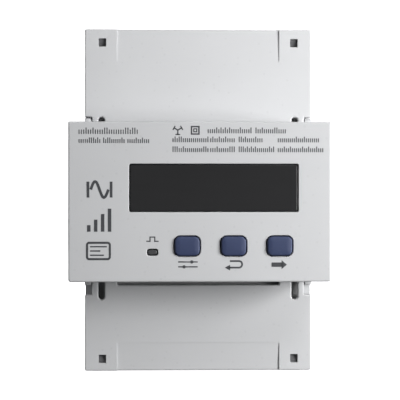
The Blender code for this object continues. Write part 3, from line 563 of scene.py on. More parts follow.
@dataclass
class Skin:
    """The faces of one piece, gathered as arrays in millimetres."""

    name: str
    points: list[Array] = field(default_factory=list)
    faces: list[list[int]] = field(default_factory=list)
    count: int = 0

    def add(self, points: Array, faces: Array) -> None:
        """Take in points and the faces between them."""
        points = points.reshape(-1, 3)
        self.points.append(points)
        self.faces += (faces + self.count).tolist()
        self.count += len(points)

    def grid(self, points: Array, wrap: bool = False) -> None:
        """Take in a surface of two parameters, whose second may close on itself."""
        rows, columns = points.shape[:2]
        index = np.arange(rows * columns).reshape(rows, columns)
        if wrap:
            index = np.concatenate([index, index[:, :1]], axis=1)
        quads = np.stack([index[:-1, :-1], index[:-1, 1:], index[1:, 1:], index[1:, :-1]], axis=-1)
        self.add(points, quads.reshape(-1, 4))

    def wall(self, outline: Outline, insets: Any, depths: Any, plane: Plane = Plane.FRONT) -> None:
        """Carry a profile of inset and depth round an outline."""
        rings = np.stack([outline.ring(inset) for inset in insets])
        depth = np.array(depths, float)[:, None]
        self.grid(plane.place(rings[..., 0], rings[..., 1], depth), wrap=True)

    def fill(self, loops: Sequence[Array], depth: float, plane: Plane = Plane.FRONT) -> None:
        """Take in the flat face that the first loop bounds and the others pierce."""
        points = np.concatenate(loops)
        starts = np.cumsum([0] + [len(loop) for loop in loops])
        runs = [np.arange(a, b) for a, b in zip(starts, starts[1:])]
        edges = np.concatenate([np.stack([run, np.roll(run, -1)], 1) for run in runs])
        cut = delaunay_2d_cdt([Vector(p) for p in points.tolist()], edges.tolist(), [], 0, 1e-6)
        flat = np.array([tuple(p) for p in cut[0]])
        triangles = np.array(cut[2])
        kept = triangles[inside(flat[triangles].mean(axis=1), loops)]
        self.add(plane.place(flat[:, 0], flat[:, 1], depth), kept)

    def slab(
        self, outline: Outline, front: float, back: float, edge: float = 0.0, plane: Plane = Plane.FRONT
    ) -> None:
        """Take in a closed plate of an outline, with its front edge rounded."""
        inset, drop = rim(edge, 3) if edge else (np.zeros(1), np.zeros(1))
        way = 1.0 if back > front else -1.0
        insets = [*inset, 0.0]
        self.wall(outline, insets, [*(front + way * drop), back], plane)
        self.fill([outline.ring(insets[0])], front, plane)
        self.fill([outline.ring()], back, plane)

    def boxes(self, low: Array, high: Array) -> None:
        """Take in plain closed boxes between pairs of corners."""
        low, high = np.atleast_2d(low), np.atleast_2d(high)
        square = ((0, 0), (1, 0), (1, 1), (0, 1))
        pick = np.array([(*place, level) for level in (0, 1) for place in square])
        corners = np.where(pick[None], high[:, None], low[:, None])
        round_it = [(i, (i + 1) % 4, (i + 1) % 4 + 4, i + 4) for i in range(4)]
        sides = np.array([(0, 3, 2, 1), (4, 5, 6, 7), *round_it])
        faces = sides[None] + 8 * np.arange(len(low))[:, None, None]
        self.add(corners, faces.reshape(-1, 4))

    def turned(
        self, radii: Sequence[float], along: Sequence[float], centre: Sequence[float], axis: Plane, steps: int
    ) -> None:
        """Take in a profile of radius and place along an axis, swept round that axis."""
        angle = np.linspace(0, math.tau, steps, endpoint=False)
        radius = np.array(radii, float)[:, None]
        across = centre[0] + radius * np.cos(angle)
        up = centre[1] + radius * np.sin(angle)
        self.grid(axis.place(across, up, np.array(along, float)[:, None]), wrap=True)

    def stroke(self, path: Array, width: float, front: float, back: float) -> None:
        """Take in a flat closed ribbon along a path in the panel's plane, mitred at its turns."""
        way = np.gradient(path, axis=0)
        way = way / np.linalg.norm(way, axis=1, keepdims=True)
        half = np.stack([-way[:, 1], way[:, 0]], axis=1) * width / 2
        left, right = path + half, path - half
        sides = ((left, front), (right, front), (right, back), (left, back))
        rings = [Plane.FRONT.place(side[:, 0], side[:, 1], depth) for side, depth in sides]
        points = np.stack(rings, axis=1)
        self.grid(points, wrap=True)
        self.add(points[[0, -1]], np.array([[0, 1, 2, 3], [4, 5, 6, 7]]))

    def build(self, weighted: bool = True) -> bpy.types.Object:
        """Weld the faces into one mesh with its faces outwards, and make its object."""
        mesh = bpy.data.meshes.new(self.name)
        mesh.from_pydata((np.concatenate(self.points) * MM).tolist(), [], self.faces)
        bm = bmesh.new()
        bm.from_mesh(mesh)
        bmesh.ops.remove_doubles(bm, verts=bm.verts, dist=WELD)
        bmesh.ops.dissolve_degenerate(bm, edges=bm.edges, dist=WELD / 4)
        bmesh.ops.recalc_face_normals(bm, faces=bm.faces)
        bm.to_mesh(mesh)
        bm.free()
        return shown(self.name, mesh, weighted)


def shown(name: str, mesh: bpy.types.Mesh, weighted: bool = True) -> bpy.types.Object:
    """An object for a mesh, smooth but for its sharp edges, with flat faces kept flat."""
    mesh.shade_smooth()
    mesh.set_sharp_from_angle(angle=SHARP)
    thing = bpy.data.objects.new(name, mesh)
    bpy.context.scene.collection.objects.link(thing)
    if weighted:
        even_out(thing)
    return thing


def even_out(thing: bpy.types.Object) -> bpy.types.Modifier:
    """Turn a smooth piece's normals towards its larger faces, so that flat ones look flat."""
    even = thing.modifiers.new("even", "WEIGHTED_NORMAL")
    even.keep_sharp = True
    return even


def refined(name: str, node: str, width: float = 0.3, least: float = 1.6) -> bpy.types.Object:
    """A copy of a CAD node's mesh with its coincident points welded and its longer edges rounded.

    Args:
        name: The new piece's name.
        node: The CAD node that it copies.
        width: Width of the rounding, in millimetres.
        least: Length of the shortest edge that is rounded, in millimetres.

    Returns:
        The new object.
    """
    mesh = bpy.data.meshes.new(name)
    bm = bmesh.new()
    bm.from_mesh(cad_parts[node].data)
    bmesh.ops.remove_doubles(bm, verts=bm.verts, dist=WELD)
    turns = np.array([edge.calc_face_angle(0.0) for edge in bm.edges])
    lengths = np.array([edge.calc_length() for edge in bm.edges])
    bm.to_mesh(mesh)
    bm.free()
    weights = ((turns > ROUNDED) & (lengths > least * MM)).astype(np.float32)
    store = mesh.attributes.new("bevel_weight_edge", "FLOAT", "EDGE")
    store.data.foreach_set("value", weights)
    mesh.materials.clear()
    thing = shown(name, mesh, weighted=False)
    rounding = thing.modifiers.new("rounding", "BEVEL")
    rounding.limit_method = "WEIGHT"
    rounding.width = width * MM
    rounding.segments = 2
    rounding.use_clamp_overlap = False
    rounding.harden_normals = False
    rounding.face_strength_mode = "FSTR_AFFECTED"
    even_out(thing).use_face_influence = True
    return thing


def fit(thing: bpy.types.Object, body: str, finish: Finish, *nodes: str) -> bpy.types.Object:
    """Dress a finished piece, let it ride on its body and stand for its CAD nodes."""
    thing.data.materials.clear()
    thing.data.materials.append(finish.dress(thing.name))
    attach(thing, body)
    finish.slot
    if nodes:
        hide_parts(*nodes)
    log.info("%s rides on %s, %d faces", thing.name, body, len(thing.data.polygons))
    return thing


def node_box(node: str) -> tuple[Array, Array]:
    """Lowest and highest corner of a CAD node, in millimetres."""
    low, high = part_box(node)
    return np.array(low) / MM, np.array(high) / MM


def face_of(node: str, inset: float, corner: float, steps: int) -> Outline:
    """Outline of a CAD node as seen from the front, drawn in by inset."""
    low, high = node_box(node)
    return rectangle(low[[0, 2]] + inset, high[[0, 2]] - inset, corner, steps)


# ---------------------------------------------------------------- front


@dataclass
class FrontHousing:
    """Front shell: rounded box open at the back, pierced for the pane, keys and light pipe."""

    half_width: float = 36.0
    wall: float = 2.0
    edge: float = 0.5
    hole_edge: float = 0.22
    bottom_corner: float = 0.75
    top_corner: float = 0.4
    back: float = -38.3
    pane_flange: float = 1.3
    key_flange: float = 0.8
    key_gap: float = 0.3
    key_corner: float = 1.45
    pane_corner: float = 0.45
    pipe_corner: float = 0.65
    pipe_flange: float = 0.75
    tongue_z: float = 11.0
    tongue_half: float = 2.4

    def holes(self) -> list[Outline]:
        """Outlines of the openings, each found from the piece that shows in it."""
        inset, corner = self.key_flange - self.key_gap, self.key_corner + self.key_gap
        return [
            face_of("display_window", self.pane_flange, self.pane_corner, 3),
            *(face_of(f"{key}_button", inset, corner, 6) for key in Keys.names),
            face_of("pulse_light_pipe", self.pipe_flange - self.key_gap, self.pipe_corner, 4),
        ]

    def tongue(self, skin: Skin, side: float, middle: float) -> None:
        """Add one barbed snap tongue behind a side wall."""
        inner = self.half_width - self.wall
        root = [(-1.7, -42.0), (0.5, -42.0), (0.5, self.back - 0.3), (-0.3, self.back - 0.3)]
        barb = [(-0.3, -33.9), (1.3, -33.5), (-0.3, -31.1), (-1.7, -30.6)]
        steps = [(inner + past, y) for past, y in root + barb]
        drawn = [(side * x, y) for x, y in steps]
        outline = Outline(drawn if side > 0 else drawn[::-1], 0.2, 2)
        skin.slab(outline, middle - self.tongue_half, middle + self.tongue_half, 0.0, Plane.FLAT)

    def build(self) -> None:
        """Make the shell."""
        low, high = node_box("front_housing")
        front, face_back = low[1], low[1] + self.wall
        corners = rectangle(low[[0, 2]], high[[0, 2]]).corners
        outer = Outline(corners, [self.bottom_corner] * 2 + [self.top_corner] * 2, 5)
        holes = self.holes()
        skin = Skin("housing_shell")
        inset, drop = rim(self.edge, 6)
        skin.wall(outer, [*inset, 0.0, self.wall], [*(front + drop), self.back, self.back])
        skin.wall(outer, [self.wall, self.wall], [self.back, face_back])
        inset, drop = rim(self.hole_edge, 3)
        for hole in holes:
            skin.wall(hole, [*-inset, 0.0], [*(front + drop), face_back])
        skin.fill([outer.ring(self.edge)] + [hole.ring(-self.hole_edge) for hole in holes], front)
        skin.fill([outer.ring(self.wall)] + [hole.ring() for hole in holes], face_back)
        for side in (1.0, -1.0):
            for middle in (self.tongue_z, -self.tongue_z):
                self.tongue(skin, side, middle)
        fit(skin.build(), "case", Finish.PALE, "front_housing")


@dataclass
class DisplayPane:
    """Tinted pane with a polished, softly rounded edge and a flange behind the housing's face."""

    flange: float = 1.6
    corner: float = 0.4
    edge: float = 0.18
    step_y: float = -57.7

    def build(self) -> None:
        """Make the pane."""
        low, high = node_box("display_window")
        outline = face_of("display_window", self.flange, self.corner, 4)
        skin = Skin("display_pane")
        inset, drop = rim(self.edge, 4)
        insets = [*inset, 0.0, -self.flange, -self.flange]
        depths = [*(low[1] + drop), self.step_y, self.step_y, high[1]]
        skin.wall(outline, insets, depths)
        skin.fill([outline.ring(self.edge)], low[1])
        skin.fill([outline.ring(-self.flange)], high[1])
        fit(skin.build(), "case", Finish.PANE, "display_window")


@dataclass
class LightPipe:
    """Smoked light pipe: lens, flange and a body that reaches the indicator lamp."""

    flange: float = 0.75
    corner: float = 0.4
    edge: float = 0.25
    step: tuple[float, float] = (-57.7, -56.9)

    def build(self) -> None:
        """Make the pipe."""
        low, high = node_box("pulse_light_pipe")
        outline = face_of("pulse_light_pipe", self.flange, self.corner, 5)
        skin = Skin("pulse_lens")
        inset, drop = rim(self.edge, 4)
        insets = [*inset, 0.0, -self.flange, -self.flange, 0.0, 0.0]
        depths = [*(low[1] + drop), self.step[0], self.step[0], self.step[1], self.step[1], high[1]]
        skin.wall(outline, insets, depths)
        skin.fill([outline.ring(self.edge)], low[1])
        skin.fill([outline.ring()], high[1])
        fit(skin.build(), "case", Finish.PIPE, "pulse_light_pipe")


@dataclass
class Keys:
    """The three keys: crowned caps, each with a retaining flange and a stem."""

    names = ("set", "escape", "next")
    corner: float = 1.45
    flange: float = 0.8
    edge: float = 0.45
    crown: float = 0.16
    crown_reach: float = 2.1
    flange_y: float = -57.6
    stem_radius: float = 1.5

    def crown_profile(self, front: float) -> tuple[Array, Array]:
        """Insets and depths over the cap, from its middle out to its wall.

        The crown falls as crown t squared, where t is the share of the way from the middle to
        the rounded edge.
        """
        share = np.linspace(0.0, 1.0, 7)
        inset = self.crown_reach + share * (self.edge - self.crown_reach)
        depth = front + self.crown * share**2
        round_inset, drop = rim(self.edge, 5)
        return np.append(inset[:-1], round_inset), np.append(depth[:-1], front + self.crown + drop)

    def build(self) -> None:
        """Make the keys."""
        for key in self.names:
            low, high = node_box(f"{key}_button")
            outline = face_of(f"{key}_button", self.flange, self.corner, 8)
            centre = (low[[0, 2]] + high[[0, 2]]) / 2
            back = self.flange_y + 0.7
            skin = Skin(f"{key}_key")
            inset, depth = self.crown_profile(low[1])
            skin.wall(
                outline,
                [*inset, 0.0, -self.flange, -self.flange],
                [*depth, self.flange_y, self.flange_y, back],
            )
            skin.fill([outline.ring(inset[0])], low[1])
            stem = circle(centre, self.stem_radius, 24)
            skin.fill([outline.ring(-self.flange), stem.ring()], back)
            skin.wall(stem, [0.0, 0.0, 0.2], [back, high[1] - 0.2, high[1]])
            skin.fill([stem.ring(0.2)], high[1])
            fit(skin.build(), f"{key}_button", Finish.KEY, f"{key}_button")


class Mark(Enum):
    """Generic signs printed on the panel."""

    WAVE = "alternating current between two end ticks"
    BARS = "four rising bars"
    DISPLAY = "a framed read-out with three level lines"
    SLIDERS = "two sliders"
    RETURN = "arrow that turns back"
    ARROW = "solid arrow to the right"
    PULSE = "square pulse"


@dataclass
class PanelPrint:
    """Everything printed on the panel: signs, and rows of plain ticks where wording would be."""

    front: float = -60.03
    back: float = -59.98
    tick: float = 0.27
    seed: int = 7

    def word(
        self, skin: Skin, left: float, right: float, base: float, height: float, chance: np.random.Generator
    ) -> None:
        """Add a row of upright ticks in place of one word.

        The ticks stand evenly across the row, and each is as tall as the row or 0.7 of it.
        """
        count = max(int(round((right - left) / (0.35 * height))), 2)
        start = np.linspace(left, right - self.tick, count)
        high = base + height * np.where(chance.random(count) < 0.3, 1.0, 0.7)
        self.bars(skin, start, start + self.tick, np.full(count, base), high)

    def bars(self, skin: Skin, left: Array, right: Array, low: Array, high: Array) -> None:
        """Add flat printed bars between arrays of left, right, low and high edges."""
        front, back = np.full(len(left), self.front), np.full(len(left), self.back)
        skin.boxes(np.stack([left, front, low], axis=1), np.stack([right, back, high], axis=1))

    def rows(self, skin: Skin) -> None:
        """Add the rows of ticks at the top of the panel."""
        chance = np.random.default_rng(self.seed)
        rows = (
            (18.5, 1.75, ((-33.1, -17.0),)),
            (16.05, 1.5, ((-33.1, -27.2), (-26.4, -20.6), (-19.8, -13.9))),
            (18.75, 1.6, ((2.1, 14.1), (15.2, 23.5))),
            (16.3, 1.55, ((-7.5, 2.3), (2.8, 9.5), (10.6, 17.1), (21.3, 32.6))),
            (13.6, 1.55, ((-7.5, 2.3), (2.8, 9.5), (10.6, 20.3), (21.3, 33.8))),
        )
        for base, height, words in rows:
            for left, right in words:
                self.word(skin, left, right, base, height, chance)

    def frame_of(self, skin: Skin, outline: Outline, width: float) -> None:
        """Add a flat closed frame of an outline."""
        depths = [self.front, self.front, self.back, self.back, self.front]
        skin.wall(outline, [0.0, width, width, 0.0, 0.0], depths)

    def plate(self, skin: Skin, corners: Sequence[Sequence[float]], corner: float = 0.1) -> None:
        """Add a flat closed shape."""
        skin.slab(Outline(corners, corner, 2), self.front, self.back)

    def polyline(self, skin: Skin, corners: Sequence[Sequence[float]], width: float) -> None:
        """Add a line of straight stretches that overlap at their turns."""
        points = np.array(corners, float)
        for start, end in zip(points, points[1:]):
            way = (end - start) / np.linalg.norm(end - start) * width / 2
            skin.stroke(np.stack([start - way, end + way]), width, self.front, self.back)

    def arrow_head(self, skin: Skin, tip: Sequence[float], length: float, half: float) -> None:
        """Add a solid head that points left, or right if its length is negative."""
        corners = [(tip[0], tip[1]), (tip[0] + length, tip[1] - half), (tip[0] + length, tip[1] + half)]
        self.plate(skin, corners if length > 0 else corners[::-1], 0.05)

    def mark(
        self, skin: Skin, mark: Mark, centre: Sequence[float], size: Sequence[float], width: float
    ) -> None:
        """Add one sign.

        Args:
            skin: The piece that takes it.
            mark: Which sign.
            centre: Its middle on the panel, as x and z.
            size: Its width and height.
            width: Thickness of its lines.
        """
        x, z = centre
        half, rise = size[0] / 2, size[1] / 2
        if mark is Mark.WAVE:
            share = np.linspace(0.0, 1.0, 49)
            across = x - half * 0.68 + 2 * half * 0.68 * share
            wave = np.stack([across, z + (rise - width / 2) * np.sin(math.tau * share)], axis=1)
            skin.stroke(wave, width, self.front, self.back)
            for side in (-1, 1):
                edge = x + side * (half - width / 2)
                self.polyline(skin, [(edge, z - rise + width), (edge, z + rise - width)], width)
        elif mark is Mark.BARS:
            pitch = (2 * half - width) / 3
            for i in range(4):
                middle = x - half + width / 2 + i * pitch
                top = z - rise + 2 * rise * (i + 1.2) / 4.2
                self.polyline(skin, [(middle, z - rise + width / 2), (middle, top - width / 2)], width)
        elif mark is Mark.DISPLAY:
            self.frame_of(skin, rectangle((x - half, z - rise), (x + half, z + rise), 0.9, 5), width)
            for i, share in enumerate((0.62, 0.36, 0.5)):
                level = z + (1 - i) * rise * 0.46
                left = x - half * 0.62
                self.polyline(skin, [(left, level), (left + 2 * half * share, level)], width * 0.62)
        elif mark is Mark.SLIDERS:
            for way in (-1, 1):
                level = z + way * rise * 0.58
                self.polyline(skin, [(x - half, level), (x + half, level)], width * 0.7)
                knob = circle((x + way * half * 0.42, level), rise * 0.40, 16)
                skin.slab(knob, self.front - 0.01, self.back)
        elif mark is Mark.RETURN:
            head = 2 * rise * 0.62
            angle = np.linspace(-QUARTER, QUARTER, 15)
            bend = rise - width / 2
            middle = x + half - bend - width / 2
            arc = np.stack([middle + bend * np.cos(angle), z + bend * np.sin(angle)], axis=1)
            low_run = np.array([[x - half + head * 0.8, arc[0, 1]]])
            high_run = np.array([[x - half * 0.45, arc[-1, 1]]])
            skin.stroke(np.concatenate([low_run, arc, high_run]), width, self.front, self.back)
            self.arrow_head(skin, (x - half, arc[0, 1]), head, head * 0.55)
        elif mark is Mark.ARROW:
            self.polyline(skin, [(x - half + width / 2, z), (x + half - 1.2 - width / 2, z)], width)
            self.arrow_head(skin, (x + half, z), -1.45, rise)
        else:
            step = half * 0.42
            low, high = z - rise + width / 2, z + rise - width / 2
            corners = [(x - half, low), (x - step, low), (x - step, high), (x + step, high)]
            self.polyline(skin, corners + [(x + step, low), (x + half, low)], width)

    def heading_signs(self, skin: Skin) -> None:
        """Add the three-phase star and the double square at the head of the right-hand rows."""
        star, square = np.array([-6.05, 19.6]), np.array((-1.3, 19.55))
        for angle in np.radians([30.0, 150.0, 270.0]):
            way = np.array([math.cos(angle), math.sin(angle)])
            tip, across = star + way * 1.2, np.array([-way[1], way[0]]) * 0.5
            self.polyline(skin, [star + way * 0.15, tip], 0.34)
            self.polyline(skin, [tip - across, tip + across], 0.3)
        self.frame_of(skin, rectangle(square - 1.22, square + 1.22), 0.4)
        self.frame_of(skin, rectangle(square - 0.55, square + 0.55), 0.3)

    def build(self) -> None:
        """Make the print."""
        skin = Skin("panel_print")
        self.rows(skin)
        self.heading_signs(skin)
        for mark, centre, size, width in (
            (Mark.WAVE, (-27.4, 3.35), (7.05, 5.1), 0.75),
            (Mark.BARS, (-27.5, -5.0), (6.6, 6.3), 0.95),
            (Mark.DISPLAY, (-27.7, -13.4), (6.8, 5.05), 0.6),
            (Mark.PULSE, (-13.0, -10.2), (3.1, 1.45), 0.3),
            (Mark.SLIDERS, (-3.3, -17.1), (5.0, 2.3), 0.5),
            (Mark.RETURN, (9.3, -17.1), (5.0, 2.3), 0.5),
            (Mark.ARROW, (21.7, -17.2), (4.2, 2.5), 1.2),
        ):
            self.mark(skin, mark, centre, size, width)
        fit(skin.build(weighted=False), "case", Finish.INK)


# ---------------------------------------------------------------- terminal ends


class End(Enum):
    """The two terminal ends, each with its plane of drawing."""

    UPPER = Plane.FRONT
    LOWER = Plane.UNDER

    @property
    def word(self) -> str:
        """The end's name in the names of pieces."""
        return self.name.lower()

    @property
    def sign(self) -> int:
        """The way from the rail's centre line to this end."""
        return 1 if self is End.UPPER else -1


@dataclass
class TerminalCover:
    """Hinged cover: plate with slots, notches, ramp and square windows, skirt, hooks and pins.

    It is drawn as x and distance from the rail's centre line, so both ends share one drawing.
    """

    end: End
    notch_end: float
    slot_end: float
    window_at: float
    ramp_start: float
    cut_back: float | None
    reach: float
    inner: float = 22.3
    half_width: float = 33.2
    face: float = -40.0
    thick: float = 1.7
    skirt: float = -26.6
    edge: float = 0.42
    notch_x: float = 31.1
    slot_x: float = 28.35
    slot_width: float = 1.9
    window_x: float = 28.1
    window_size: tuple[float, float] = (2.2, 2.4)
    ramp_x: float = 23.8
    ramp_depths: tuple[float, float] = (0.15, 0.45)
    hinge: tuple[float, float] = (-38.9, 23.4)
    pin_radius: float = 0.5
    floor: float = 0.2
    hook_half: float = 2.0
    rib_x: tuple[float, ...] = (-17.5, -4.5, 8.5)
    rib_half: float = 0.4
    rib_span: tuple[float, float] = (29.0, 44.0)
    rib_height: float = 0.9
    # depth and play of the dark sheets that paint the shade in the windows
    liner_back: float = 0.15
    liner_play: float = 0.03
    crest: float = 0.9
    ridge: float = 0.5
    foot: float = 0.35

    def outline(self) -> Outline:
        """Drawing of the plate, starting at the middle of its inner edge."""
        half_slot = self.slot_width / 2
        right = []
        if self.cut_back:
            right += [(self.ramp_x, self.cut_back, 0.3, 3), (self.ramp_x, self.inner, 0.3, 3)]
        right += [
            (self.slot_x - half_slot, self.inner, 0.2, 2),
            (self.slot_x - half_slot, self.slot_end, half_slot - 0.01, 6),
            (self.slot_x + half_slot, self.slot_end, half_slot - 0.01, 6),
            (self.slot_x + half_slot, self.inner, 0.2, 2),
            (self.notch_x, self.inner, 0.2, 2),
            (self.notch_x, self.notch_end, 0.2, 2),
            (self.half_width, self.notch_end, 0.2, 2),
            (self.half_width, self.reach - self.thick, 0.0, 1),
            (self.half_width, self.reach, 0.5, 4),
            (self.ramp_x, self.reach, 0.0, 1),
        ]
        left = [(-x, s, radius, steps) for x, s, radius, steps in reversed(right)]
        drawn = np.array(right + left)
        return Outline(drawn[:, :2], drawn[:, 2], drawn[:, 3].astype(int))

    def relief(self, along: Array) -> Array:
        """How far the ramp lies below the face: it falls evenly from its start to the end."""
        first, last = self.ramp_depths
        return first + (last - first) * (along - self.ramp_start) / (self.reach - self.ramp_start)

    def plate(self, skin: Skin) -> None:
        """Add the plate and its skirt as one closed surface."""
        outline = self.outline()
        plane = self.end.value
        ring = outline.ring()
        back = self.face + self.thick
        index = np.arange(len(ring))
        doubled = [i for i in range(len(outline.corners)) if outline.rounds[i] == 0]
        side_right, ramp_right, ramp_left, side_left = (int(np.argmax(outline.owner == i)) for i in doubled)
        hanging = (index > side_right) & (index <= side_left)
        sunk = (index > ramp_right) & (index <= ramp_left)
        inset, drop = rim(self.edge, 5)
        rings = np.stack([outline.ring(i) for i in inset] + [ring, ring])
        depth = np.broadcast_to((self.face + drop)[:, None], (len(drop), len(ring))).copy()
        depth += np.where(sunk, self.relief(rings[: len(drop), :, 1]), 0.0)
        last = np.where(hanging, self.skirt, back)
        depth = np.concatenate([depth, np.full((1, len(ring)), back), last[None]])
        skin.grid(plane.place(rings[..., 0], rings[..., 1], depth), wrap=True)
        start = (self.ramp_x, self.ramp_start)
        top = np.roll(rings[0], -ramp_left - 1, axis=0)[: len(ring) - (ramp_left - ramp_right)]
        loop = np.concatenate([top, [start, (-start[0], start[1])]])
        windows = self.windows(skin)
        skin.fill([loop, *windows], self.face, plane)
        rear = np.roll(ring, -side_left - 1, axis=0)[: len(ring) - (side_left - side_right)]
        skin.fill([rear], back, plane)
        skin.fill([ring[hanging]], self.skirt, plane)
        shelf = self.reach - self.thick
        across = np.array([self.half_width, -self.half_width])
        depths = np.array([back, self.skirt])[:, None]
        skin.grid(plane.place(across, shelf, depths))
        self.ramp(skin, plane)

    def ramp(self, skin: Skin, plane: Plane) -> None:
        """Add the sunken ramp and the step round it."""
        along = np.array([self.ramp_start, self.reach - self.edge])
        sunk = self.face + self.relief(along)
        across = np.array([self.ramp_x, -self.ramp_x])
        skin.grid(plane.place(across, along[:, None], sunk[:, None]))
        skin.grid(plane.place(across, along[0], np.array([self.face, sunk[0]])[:, None]))
        level = np.array([[self.face, self.face], sunk])
        for x in across:
            skin.grid(plane.place(x, along, level))

    def windows(self, skin: Skin) -> list[Array]:
        """Add the two blind square windows, and return their rings on the face."""
        plane = self.end.value
        rings = []
        depth = self.thick - self.floor
        for side in (1, -1):
            middle = np.array([side * self.window_x, self.window_at])
            half = np.array(self.window_size) / 2
            square = rectangle(middle - half, middle + half, 0.12, 2)
            inset, drop = rim(0.12, 2)
            skin.wall(square, [*-inset, 0.0], [*(self.face + drop), self.face + depth], plane)
            skin.fill([square.ring()], self.face + depth, plane)
            rings.append(square.ring(-0.12))
        return rings

    def latches(self, skin: Skin) -> None:
        """Add a barbed hook behind each window, the pins and three ribs."""
        plane = self.end.value
        back = self.face + self.thick
        for side in (1, -1):
            x, s = side * self.window_x, self.window_at
            arm = [(back - 0.5, -0.6), (-34.9, -0.6), (-34.5, -0.2), (-34.5, 0.3)]
            barb = [(-35.3, 0.9), (-35.7, 0.9), (-36.1, 0.5), (back - 0.5, 0.6)]
            hook = [(y, s + past) for y, past in arm + barb]
            self.profile(skin, hook, x - self.hook_half, x + self.hook_half)
            low, high = sorted((side * (self.notch_x - 0.6), side * (self.half_width - 0.4)))
            radii = [0, self.pin_radius - 0.1, self.pin_radius, self.pin_radius, self.pin_radius - 0.1, 0]
            along = [low, low, low + 0.1, high - 0.1, high, high]
            skin.turned(radii, along, (self.hinge[0], self.end.sign * self.hinge[1]), Plane.SIDE, 16)
        for x in self.rib_x:
            near, far = self.rib_span
            rib = rectangle((x - self.rib_half, near), (x + self.rib_half, far), 0.35, 3)
            skin.slab(rib, back + self.rib_height, back - 0.2, 0.15, plane)

    def profile(self, skin: Skin, steps: Sequence[Sequence[float]], low: float, high: float) -> None:
        """Add a solid whose section is given as depth and distance from the centre line."""
        drawn = np.array([(y, self.end.sign * s) for y, s in steps])
        after = np.roll(drawn, -1, axis=0)
        area = np.sum(drawn[:, 0] * after[:, 1] - after[:, 0] * drawn[:, 1])
        outline = Outline(drawn if area > 0 else drawn[::-1], 0.08, 2)
        skin.slab(outline, low, high, 0.0, Plane.SIDE)

    def build(self) -> None:
        """Make the cover."""
        skin = Skin(f"{self.end.word}_cover")
        self.plate(skin)
        self.latches(skin)
        node = f"{self.end.word}_terminal_cover"
        fit(skin.build(), node, Finish.GREY, node)
        # the windows get dark sheets of painted shade on their floors
        self.liners(node)

    def liners(self, node: str) -> None:
        """Make dark sheets on the windows' floors that paint the shade inside them, each with a wedge at its
        outer end.
        """
        skin = Skin(f"{self.end.word}_cover_liners")
        floor = self.face + self.thick - self.liner_back
        half_x, half_s = np.array(self.window_size) / 2 - self.liner_play
        for side in (1, -1):
            x, s = side * self.window_x, self.window_at
            low, high = s - half_s, s + half_s
            crest, foot = floor - self.crest, floor - self.foot
            steps = [(floor, low), (floor, high), (crest, high), (crest, high - self.ridge), (foot, low)]
            self.profile(skin, steps, x - half_x, x + half_x)
        fit(skin.build(), node, Finish.LINER)


@dataclass
class ClampScrew:
    """Cheese-head clamp screw with a slot and cross, and a rolled thread."""

    head_radius: float = 3.0
    head_depth: float = 2.3
    shank_radius: float = 2.0
    pitch: float = 0.8
    thread: float = 0.16
    slot_half: float = 2.5
    arm_half: float = 1.9
    slot_width: float = 1.0
    recess: float = 1.35
    edge: float = 0.35

    def cross(self, centre: Array) -> Outline:
        """Drawing of the slot with its short cross arm."""
        long, short, half = self.slot_half, self.arm_half, self.slot_width / 2
        side = [(long, -half), (long, half), (half, half), (half, short), (-half, short), (-half, half)]
        arms = np.array(side)
        return Outline(np.concatenate([arms, -arms]) + centre, 0.12, 2)

    def shank(self, skin: Skin, centre: Array, start: float, end: float) -> None:
        """Add the threaded shank.

        The radius is the shank's less thread times a triangle wave of turns, which is the place
        along the shank over the pitch less the angle over a full turn, and it fades at both ends.
        """
        turns = (end - start) / self.pitch
        along = np.linspace(0.0, 1.0, int(turns * 6) + 1)[:, None]
        angle = np.linspace(0, math.tau, 24, endpoint=False)[None]
        phase = along * turns - angle / math.tau
        wave = np.abs((phase % 1.0) * 2 - 1)
        fade = np.clip(np.minimum(along, 1 - along) * turns, 0.0, 1.0)
        radius = self.shank_radius - self.thread * wave * fade - (1 - fade) * 0.02
        across = centre[0] + radius * np.cos(angle)
        up = centre[1] + radius * np.sin(angle)
        skin.grid(Plane.FRONT.place(across, up, start + (end - start) * along), wrap=True)
        base = np.stack([across[-1], up[-1]], axis=1)
        skin.fill([base], end)
        root = np.stack([across[0], up[0]], axis=1)
        skin.fill([circle(centre, self.head_radius, 32).ring(), root], start)

    def build(self, node: str) -> None:
        """Make one screw in the place of its CAD node."""
        low, high = node_box(node)
        centre = ((low + high) / 2)[[0, 2]]
        skin = Skin(f"{node}_head")
        outer = circle(centre, self.head_radius, 32)
        cross = self.cross(centre)
        inset, drop = rim(self.edge, 4)
        skin.wall(outer, [*inset, 0.0], [*(low[1] + drop), low[1] + self.head_depth])
        skin.fill([outer.ring(self.edge), cross.ring(-0.06)], low[1])
        skin.wall(cross, [-0.06, 0.0, 0.04], [low[1], low[1] + 0.06, low[1] + self.recess])
        skin.fill([cross.ring(0.04)], low[1] + self.recess)
        self.shank(skin, centre, low[1] + self.head_depth, high[1])
        fit(skin.build(), node, Finish.ZINC, node)


@dataclass
class ConnectorScrew:
    """Small slotted screw of a pluggable connector."""

    radius: float = 1.2
    slot_half: float = 0.95
    slot_width: float = 0.5
    recess: float = 0.7
    edge: float = 0.15
    chamfer: float = 0.4

    def build(self, node: str) -> None:
        """Make one screw in the place of its CAD node."""
        low, high = node_box(node)
        centre = ((low + high) / 2)[[0, 2]]
        half = np.array([self.slot_half, self.slot_width / 2])
        outer = circle(centre, self.radius, 24)
        slot = rectangle(centre - half, centre + half, 0.1, 2)
        inset, drop = rim(self.edge, 3)
        skin = Skin(f"{node}_head")
        end = high[1] - self.chamfer
        skin.wall(outer, [*inset, 0.0, 0.0, self.chamfer], [*(low[1] + drop), end, end, high[1]])
        skin.fill([outer.ring(self.chamfer)], high[1])
        skin.fill([outer.ring(self.edge), slot.ring()], low[1])
        skin.wall(slot, [0.0, 0.02], [low[1], low[1] + self.recess])
        skin.fill([slot.ring(0.02)], low[1] + self.recess)
        fit(skin.build(), node, Finish.ZINC, node)


